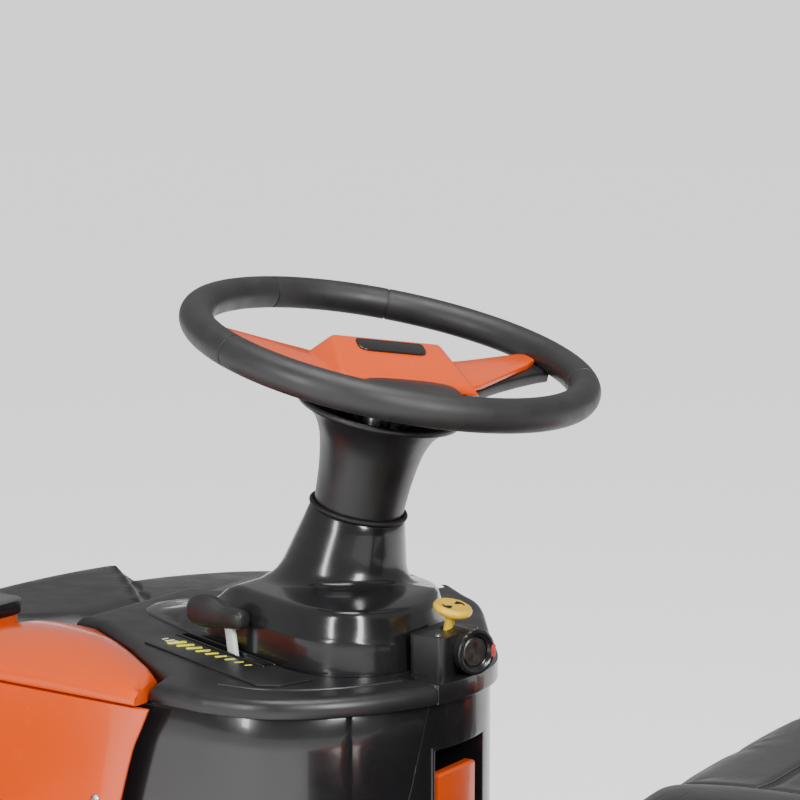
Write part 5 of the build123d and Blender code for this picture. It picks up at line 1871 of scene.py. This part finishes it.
# ---- rear body
@dataclass
class RearBody:
    """Rear covers, riser, batteries and the debris hopper."""

    def build(self) -> None:
        """Make the rear."""
        for node in ("rear_cover_left", "rear_cover_right"):
            rounded_node(node, Skin.ORANGE, 3.0, 3)
        rounded_node("rear_cover_back", Skin.ORANGE, 2.2, 3)
        rounded_node("seat_riser", Skin.GRAINED, 1.6, 2)
        rounded_node("hopper", Skin.BIN, 2.4, 3)
        rounded_node("batteries", Skin.BATTERY, 2.0, 2)
        low, high = box_mm("batteries")
        caps = [Spot((x + 26 + 34 * k, y + 90, high.z), (0, 0, 1)) for x in (low.x, low.x + 165)
                for y in (low.y, low.y + 192) for k in range(4)]
        cap = revolve("cap_template", [(0, -1), (10, -1), (10, 3), (8.6, 4.4), (3, 4.4), (2.4, 3.4),
            (0, 3.4)], None, 20, 30)
        piece = REPEATER.spread("cell_caps", cap, caps, Skin.RED)
        install(piece, Skin.SATIN, "chassis", "battery_case")
        posts = [Spot((x + end, y + 30, high.z)) for x in (low.x, low.x + 165) for y in (low.y, low.y + 192)
                 for end in (20, 135)]
        post = revolve("post_template", [(0, -1), (7, -1), (6.2, 12), (5.2, 13), (0, 13)], None, 16, 30)
        install(REPEATER.spread("battery_posts", post, posts, Skin.STEEL), Skin.STEEL, "chassis",
                "bare_steel")
        _, cover_high = box_mm("rear_cover_left")
        for side, label in ((1, "left"), (-1, "right")):
            vents = [Spot((-640 + 17 * k, side * (cover_high.y - 0.3), 470), (0, side, 0), (0.25, 0, 1))
                     for k in range(12)]
            fins = REPEATER.spread("vent_fins_" + label, bar_shape(86, 7.5, 3.4, 1.6), vents, Skin.SATIN)
            install(fins, Skin.SATIN, "chassis", "black_matte")
            heads = [Spot((x, side * cover_high.y, z), (0, side, 0)) for x, z in ((-180, 540), (-180, 220),
                (-716, 540), (-716, 220))]
            screws("cover_screws_" + label, heads, "chassis", radius=5.0)
        back_low, _ = box_mm("rear_cover_back")
        slats = [Spot((back_low.x + 0.4, 0, 400 + 15 * k), (-1, 0, 0), (0, 1, 0)) for k in range(8)]
        grille = REPEATER.spread("rear_slats", bar_shape(300, 7, 3.2, 1.4), slats, Skin.SATIN)
        install(grille, Skin.SATIN, "chassis", "black_matte")
        for side, label in ((1, "left"), (-1, "right")):
            lamp = plate("tail_lamp_" + label, anticlockwise(rounded_outline([(-34, -17), (34, -17),
                (34, 17), (-34, 17)], 10, 5)), -1, 6.5, 3.0, 0.3, frame_at((back_low.x, side * 330, 520),
                (-1, 0, 0), (0, 1, 0)))
            install(lamp, Skin.TAIL, "chassis", "lamp_trim")
        heads = [Spot((back_low.x, side * 380, z), (-1, 0, 0)) for side in (1, -1) for z in (350, 560)]
        screws("back_screws", heads, "chassis", radius=5.0)
        for side, label in ((1, "left"), (-1, "right")):
            ribs = [Spot((-690 + 62 * k, side * 244.0, 150), (0, side, 0), (0, 0, 1)) for k in range(7)]
            piece = REPEATER.spread("hopper_ribs_" + label, bar_shape(120, 12, 4.0, 2.0), ribs, Skin.BIN)
            install(piece, Skin.BIN, "hopper", "hopper_grey")


# ---- seat
@dataclass
class Seat:
    """Seat pan, padded cushion and back, made by simulation."""
    voxel: float = 6.0
    pressure: float = 4.0
    frames: int = 20
    cap: float = 9.0

    def padded(self, name: str, rings: Sequence[Sequence[Point]], place: Matrix, sew: Callable[[Vector],
            float], node: str) -> Piece:
        """Swell a closed form with air, then draw its seams in.

        Args:
            name: name of the piece.
            rings: rows of the starting form, from the base up, in local millimetres.
            place: matrix to the machine's frame.
            sew: how far the surface is drawn in at a local point, in millimetres.
            node: frame node that the piece stands for.

        Returns:
            The finished pad.
        """
        pad = loft(name, rings)
        remesh = pad.modifiers.new("remesh", "REMESH")
        remesh.mode = "VOXEL"
        remesh.voxel_size = self.voxel * MM
        settle(pad)
        rest = [v.co.copy() for v in pad.data.vertices]
        step = pad.modifiers.new("cloth", "CLOTH")
        step.settings.use_pressure = True
        step.settings.uniform_pressure_force = self.pressure
        step.settings.effector_weights.gravity = 0.0
        step.settings.quality = 5
        step.collision_settings.use_collision = False
        scene = bpy.context.scene
        for number in range(1, self.frames + 1):
            scene.frame_set(number)
        settle(pad)
        scene.frame_set(1)
        bottom = min(p.z for p in rest)
        for vertex, start in zip(pad.data.vertices, rest):
            moved = vertex.co - start
            if moved.length > self.cap * MM:
                moved *= self.cap * MM / moved.length
            vertex.co = start + moved
            vertex.co.z = max(bottom, vertex.co.z)
        smooth = pad.modifiers.new("smooth", "SUBSURF")
        smooth.levels = smooth.render_levels = 1
        settle(pad)
        normals = [v.normal.copy() for v in pad.data.vertices]
        for vertex, normal in zip(pad.data.vertices, normals):
            drawn = sew(vertex.co / MM)
            if drawn:
                vertex.co -= normal * drawn * MM
        pad.data.transform(Matrix.Diagonal((MM,) * 3 + (1,)) @ place @ Matrix.Diagonal((1 / MM,) * 3 + (1,)))
        pad.data.shade_smooth()
        stand_for(pad, Skin.VINYL, node)
        return pad

    def form(self, half_x: float, half_y: float, height: float, crown: Callable[[float, float], float],
             front_drop: float) -> list[list[Point]]:
        """Starting form of a pad, as closed rows from the base up.

        Args:
            half_x: half its depth.
            half_y: half its width.
            height: its height at the rim of the top.
            crown: extra height at a place on the top, from shares of the half sizes.
            front_drop: how much the top falls at its front rim.

        Returns:
            The rows.
        """
        outline = anticlockwise(rounded_outline([(half_x, -half_y), (half_x, half_y), (-half_x, half_y),
            (-half_x, -half_y)], [70, 70, 60, 60], 10))
        outline = even(outline, 96)
        rings = [[(x * s, y * s, 1.0) for x, y in outline] for s in (0.02, 0.5, 0.9, 0.965)]
        for inset, share in ((3, 0.08), (0, 0.2), (-1, 0.45), (0, 0.68), (5, 0.86), (13, 0.96)):
            rings.append([(x, y, height * share - front_drop * share * max(0, x / half_x) ** 3) for x,
                          y in drawn_in(outline, inset)])
        for s in (0.88, 0.8, 0.7, 0.6, 0.5, 0.4, 0.3, 0.2, 0.1, 0.02):
            rings.append([(x * s, y * s, height + crown(x * s / half_x, y * s / half_y) - front_drop
                           * max(0, x * s / half_x) ** 3) for x, y in outline])
        return rings

    def cushion(self) -> None:
        """The seat cushion with side bolsters, three channels and piping."""
        low, high = box_mm("seat_cushion")
        middle = Vector(((low.x + high.x) / 2, 0, low.z))
        half_x, half_y = (high.x - low.x) / 2 - 6, (high.y - low.y) / 2 - 6
        height = high.z - low.z - 14

        def crown(u: float, v: float) -> float:
            """Bolsters stand above the middle of the seat."""
            side = min(1.0, max(0.0, (abs(v) - 0.5) / 0.22))
            back = min(1.0, max(0.0, (-u - 0.62) / 0.25))
            return 3.0 * side * side * (3 - 2 * side) * (1 - 0.4 * abs(u)) + 2.0 * back - 5.0 * (1 - side)

        def sew(spot: Vector) -> float:
            """Depth of the sewn channels on the top."""
            if spot.z < height * 0.55:
                band = abs(spot.z - height * 0.38)
                return 1.8 * exp(-(band / 2.6) ** 2)
            rail = 0.60 * half_y
            depth = 5.0 * exp(-((abs(spot.y) - rail) / 5.0) ** 2)
            if abs(spot.y) < rail:
                for x in (-110, -40, 30, 100):
                    depth = max(depth, 4.2 * exp(-((spot.x - x) / 4.6) ** 2))
            return depth

        self.padded("seat_cushion_pad", self.form(half_x, half_y, height, crown, 17),
                    Matrix.Translation(middle), sew, "seat_cushion")
        rim = even(anticlockwise(rounded_outline([(half_x, -half_y), (half_x, half_y), (-half_x, half_y),
            (-half_x, -half_y)], [70, 70, 60, 60], 10)), 160)
        line = [(middle.x + x, y, low.z + height * 0.38) for x, y in drawn_in(rim, -3.4)]
        install(tube("cushion_piping", line, 2.6, 8, True), Skin.SEAL, "seat", "vinyl")
        self.stitches("cushion_stitches", "seat_cushion_pad",
                      [((-110 + 70 * k, y * 4.0), (0, 1)) for k in range(4) for y in range(-31, 32)], middle)

    def stitches(self, name: str, pad: str, marks: Sequence[tuple[Pair, Pair]], middle: Vector) -> None:
        """Threads along the sewn channels of the cushion.

        Args:
            name: name of the piece.
            pad: the pad they lie on.
            marks: local places and directions.
            middle: the pad's origin.
        """
        body = bpy.data.objects[pad]
        work = bmesh.new()
        work.from_mesh(body.data)
        ground = BVHTree.FromBMesh(work)
        spots = []
        for (x, y), (along_x, along_y) in marks:
            for shift in (-4.6, 4.6):
                start = Vector((middle.x + x + shift, y, middle.z + 160)) * MM
                hit, normal, _, _ = ground.ray_cast(start, Vector((0, 0, -1)))
                if hit is not None:
                    spots.append(Spot(tuple(hit / MM), tuple(normal), (along_x, along_y, 0)))
        work.free()
        thread = bar_shape(3.0, 0.9, 0.7, 0.25)
        install(REPEATER.spread(name, thread, spots, Skin.THREAD, 0.03, 0.05, 21), Skin.THREAD, "seat",
                "vinyl")

    def back(self) -> None:
        """The back rest with bolsters and cross channels."""
        low, high = box_mm("seat_back")
        lean = radians(-8)
        width = (high.y - low.y) / 2 - 6
        tall = (1090 - 612 - 84) / 2 - 6
        along = Vector((sin(lean), 0, cos(lean)))
        ahead = Vector((cos(lean), 0, -sin(lean)))
        foot = Vector((-564, 0, 612)) + along * (84 + 6 + tall) + ahead * -11.0
        place = frame_at(foot, ahead, along)
        height = 80 - 14

        def crown(u: float, v: float) -> float:
            """Bolsters stand proud of the middle."""
            side = min(1.0, max(0.0, (abs(v) - 0.52) / 0.2))
            return 4.0 * side * (1 - 0.5 * abs(u)) - 4.0 * (1 - side)

        def sew(spot: Vector) -> float:
            """Depth of the sewn channels on the front."""
            if spot.z < height * 0.5:
                return 1.8 * exp(-((spot.z - height * 0.36) / 2.6) ** 2)
            rail = 0.62 * width
            depth = 5.0 * exp(-((abs(spot.y) - rail) / 5.0) ** 2)
            if abs(spot.y) < rail:
                for x in (-110, -45, 20, 85):
                    depth = max(depth, 4.2 * exp(-((spot.x - x) / 4.6) ** 2))
            return depth

        self.padded("seat_back_pad", self.form(tall, width, height, crown, 6), place, sew, "seat_back")
        rim = even(anticlockwise(rounded_outline([(tall, -width), (tall, width), (-tall, width),
            (-tall, -width)], [70, 70, 60, 60], 10)), 160)
        line = [tuple(place @ Vector((x, y, height * 0.36))) for x, y in drawn_in(rim, -3.4)]
        install(tube("back_piping", line, 2.6, 8, True), Skin.SEAL, "seat", "vinyl")

    def build(self) -> None:
        """Make the whole seat."""
        rounded_node("seat_pan", Skin.FRAME, 1.2, 2)
        self.cushion()
        self.back()


# ---- stage
@dataclass
class Studio:
    """Camera, lights and floor."""
    bearing: float = 34.0
    rise: float = 6.5
    distance: float = 1920.0
    focal: float = 2299.35
    frame_width: float = 800.0
    below: float = 50.0
    aside: float = 9.0

    def camera(self) -> None:
        """The camera, aimed a little below the wheel's centre."""
        wheel = joint_place("steering_turn").translation
        turn, rise = radians(self.bearing), radians(self.rise)
        away = Vector((-sin(turn), cos(turn), 0))
        right = Vector((-cos(turn), -sin(turn), 0))
        spot = wheel + (away * cos(rise) + Vector((0, 0, sin(rise)))) * self.distance
        pitch = rise + atan(self.below / self.focal)
        ahead = -(away * cos(pitch) + Vector((0, 0, sin(pitch))))
        yaw = Matrix.Rotation(-atan(self.aside / self.focal), 3, "Z")
        ahead, right = yaw @ ahead, yaw @ right
        data = bpy.data.cameras.new("studio_camera")
        data.sensor_width = 36.0
        data.lens = self.focal / self.frame_width * data.sensor_width
        data.dof.use_dof = False
        data.clip_end = 60.0
        camera = bpy.data.objects.new("studio_camera", data)
        turn_matrix = Matrix((right, right.cross(ahead), -ahead)).transposed().to_4x4()
        turn_matrix.translation = spot * MM
        camera.matrix_world = turn_matrix
        bpy.context.scene.collection.objects.link(camera)
        bpy.context.scene.camera = camera

    @staticmethod
    def lamp(name: str, spot: Point, aim: Point, size: Pair, power: float) -> None:
        """A soft box light.

        Args:
            name: name of the light.
            spot: its place in metres.
            aim: where it looks.
            size: its width and height in metres.
            power: its power in watts.
        """
        data = bpy.data.lights.new(name, "AREA")
        data.shape = "RECTANGLE"
        data.size, data.size_y = size
        data.energy = power
        lamp = bpy.data.objects.new(name, data)
        away = (Vector(spot) - Vector(aim)).normalized()
        place = frame_at(spot, away, Vector((0, 0, 1)).cross(away) if abs(away.z) < 0.99 else (1, 0, 0))
        lamp.matrix_world = place
        bpy.context.scene.collection.objects.link(lamp)

    def build(self) -> None:
        """Set up the stage."""
        self.camera()
        floor = loft("studio_floor", [[(-30000, -30000, 0), (30000, -30000, 0)], [(-30000, 30000, 0),
            (30000, 30000, 0)]], closed=False, caps=False)
        shader = Shader("studio_floor")
        shader.set(Base_Color=(0.7, 0.7, 0.7, 1), Roughness=0.8, Emission_Color=(1, 1, 1, 1),
                   Emission_Strength=1.1)
        floor.data.materials.append(shader.material)
        world = bpy.data.worlds.new("studio_air")
        world.use_nodes = True
        tree = world.node_tree
        sky = tree.nodes["Background"]
        sky.inputs["Color"].default_value = (1, 1, 1, 1)
        path, level = tree.nodes.new("ShaderNodeLightPath"), tree.nodes.new("ShaderNodeMapRange")
        level.inputs["To Min"].default_value, level.inputs["To Max"].default_value = 0.36, 1.35
        tree.links.new(path.outputs["Is Camera Ray"], level.inputs["Value"])
        tree.links.new(level.outputs["Result"], sky.inputs["Strength"])
        bpy.context.scene.world = world
        self.lamp("key_box", (-2.6, 1.6, 2.6), (0.1, 0, 0.7), (0.7, 1.8), 130)
        self.lamp("side_box", (0.6, 3.4, 1.9), (0.1, 0, 0.7), (0.4, 1.8), 70)
        self.lamp("top_box", (0.0, 0.2, 3.6), (0.1, 0, 0.6), (1.6, 1.6), 70)


def main() -> None:
    """Build every sub-assembly in order."""
    logging.basicConfig(level=logging.INFO, format="%(name)s: %(message)s")
    Studio().build()
    for assembly in (SteeringWheel(), Cowl(), Tower(), FrontBody(), RunningGear(), Floor(), Brushes(),
                     RearBody(), Seat()):
        assembly.build()
        log.info("%s is done", type(assembly).__name__)
    for node in sorted(set(frame["nodes"]) - replaced):
        log.info("node %s keeps its frame mesh", node)
        dress_node(node, Skin.FRAME)


if __name__ == "__main__":
    main()
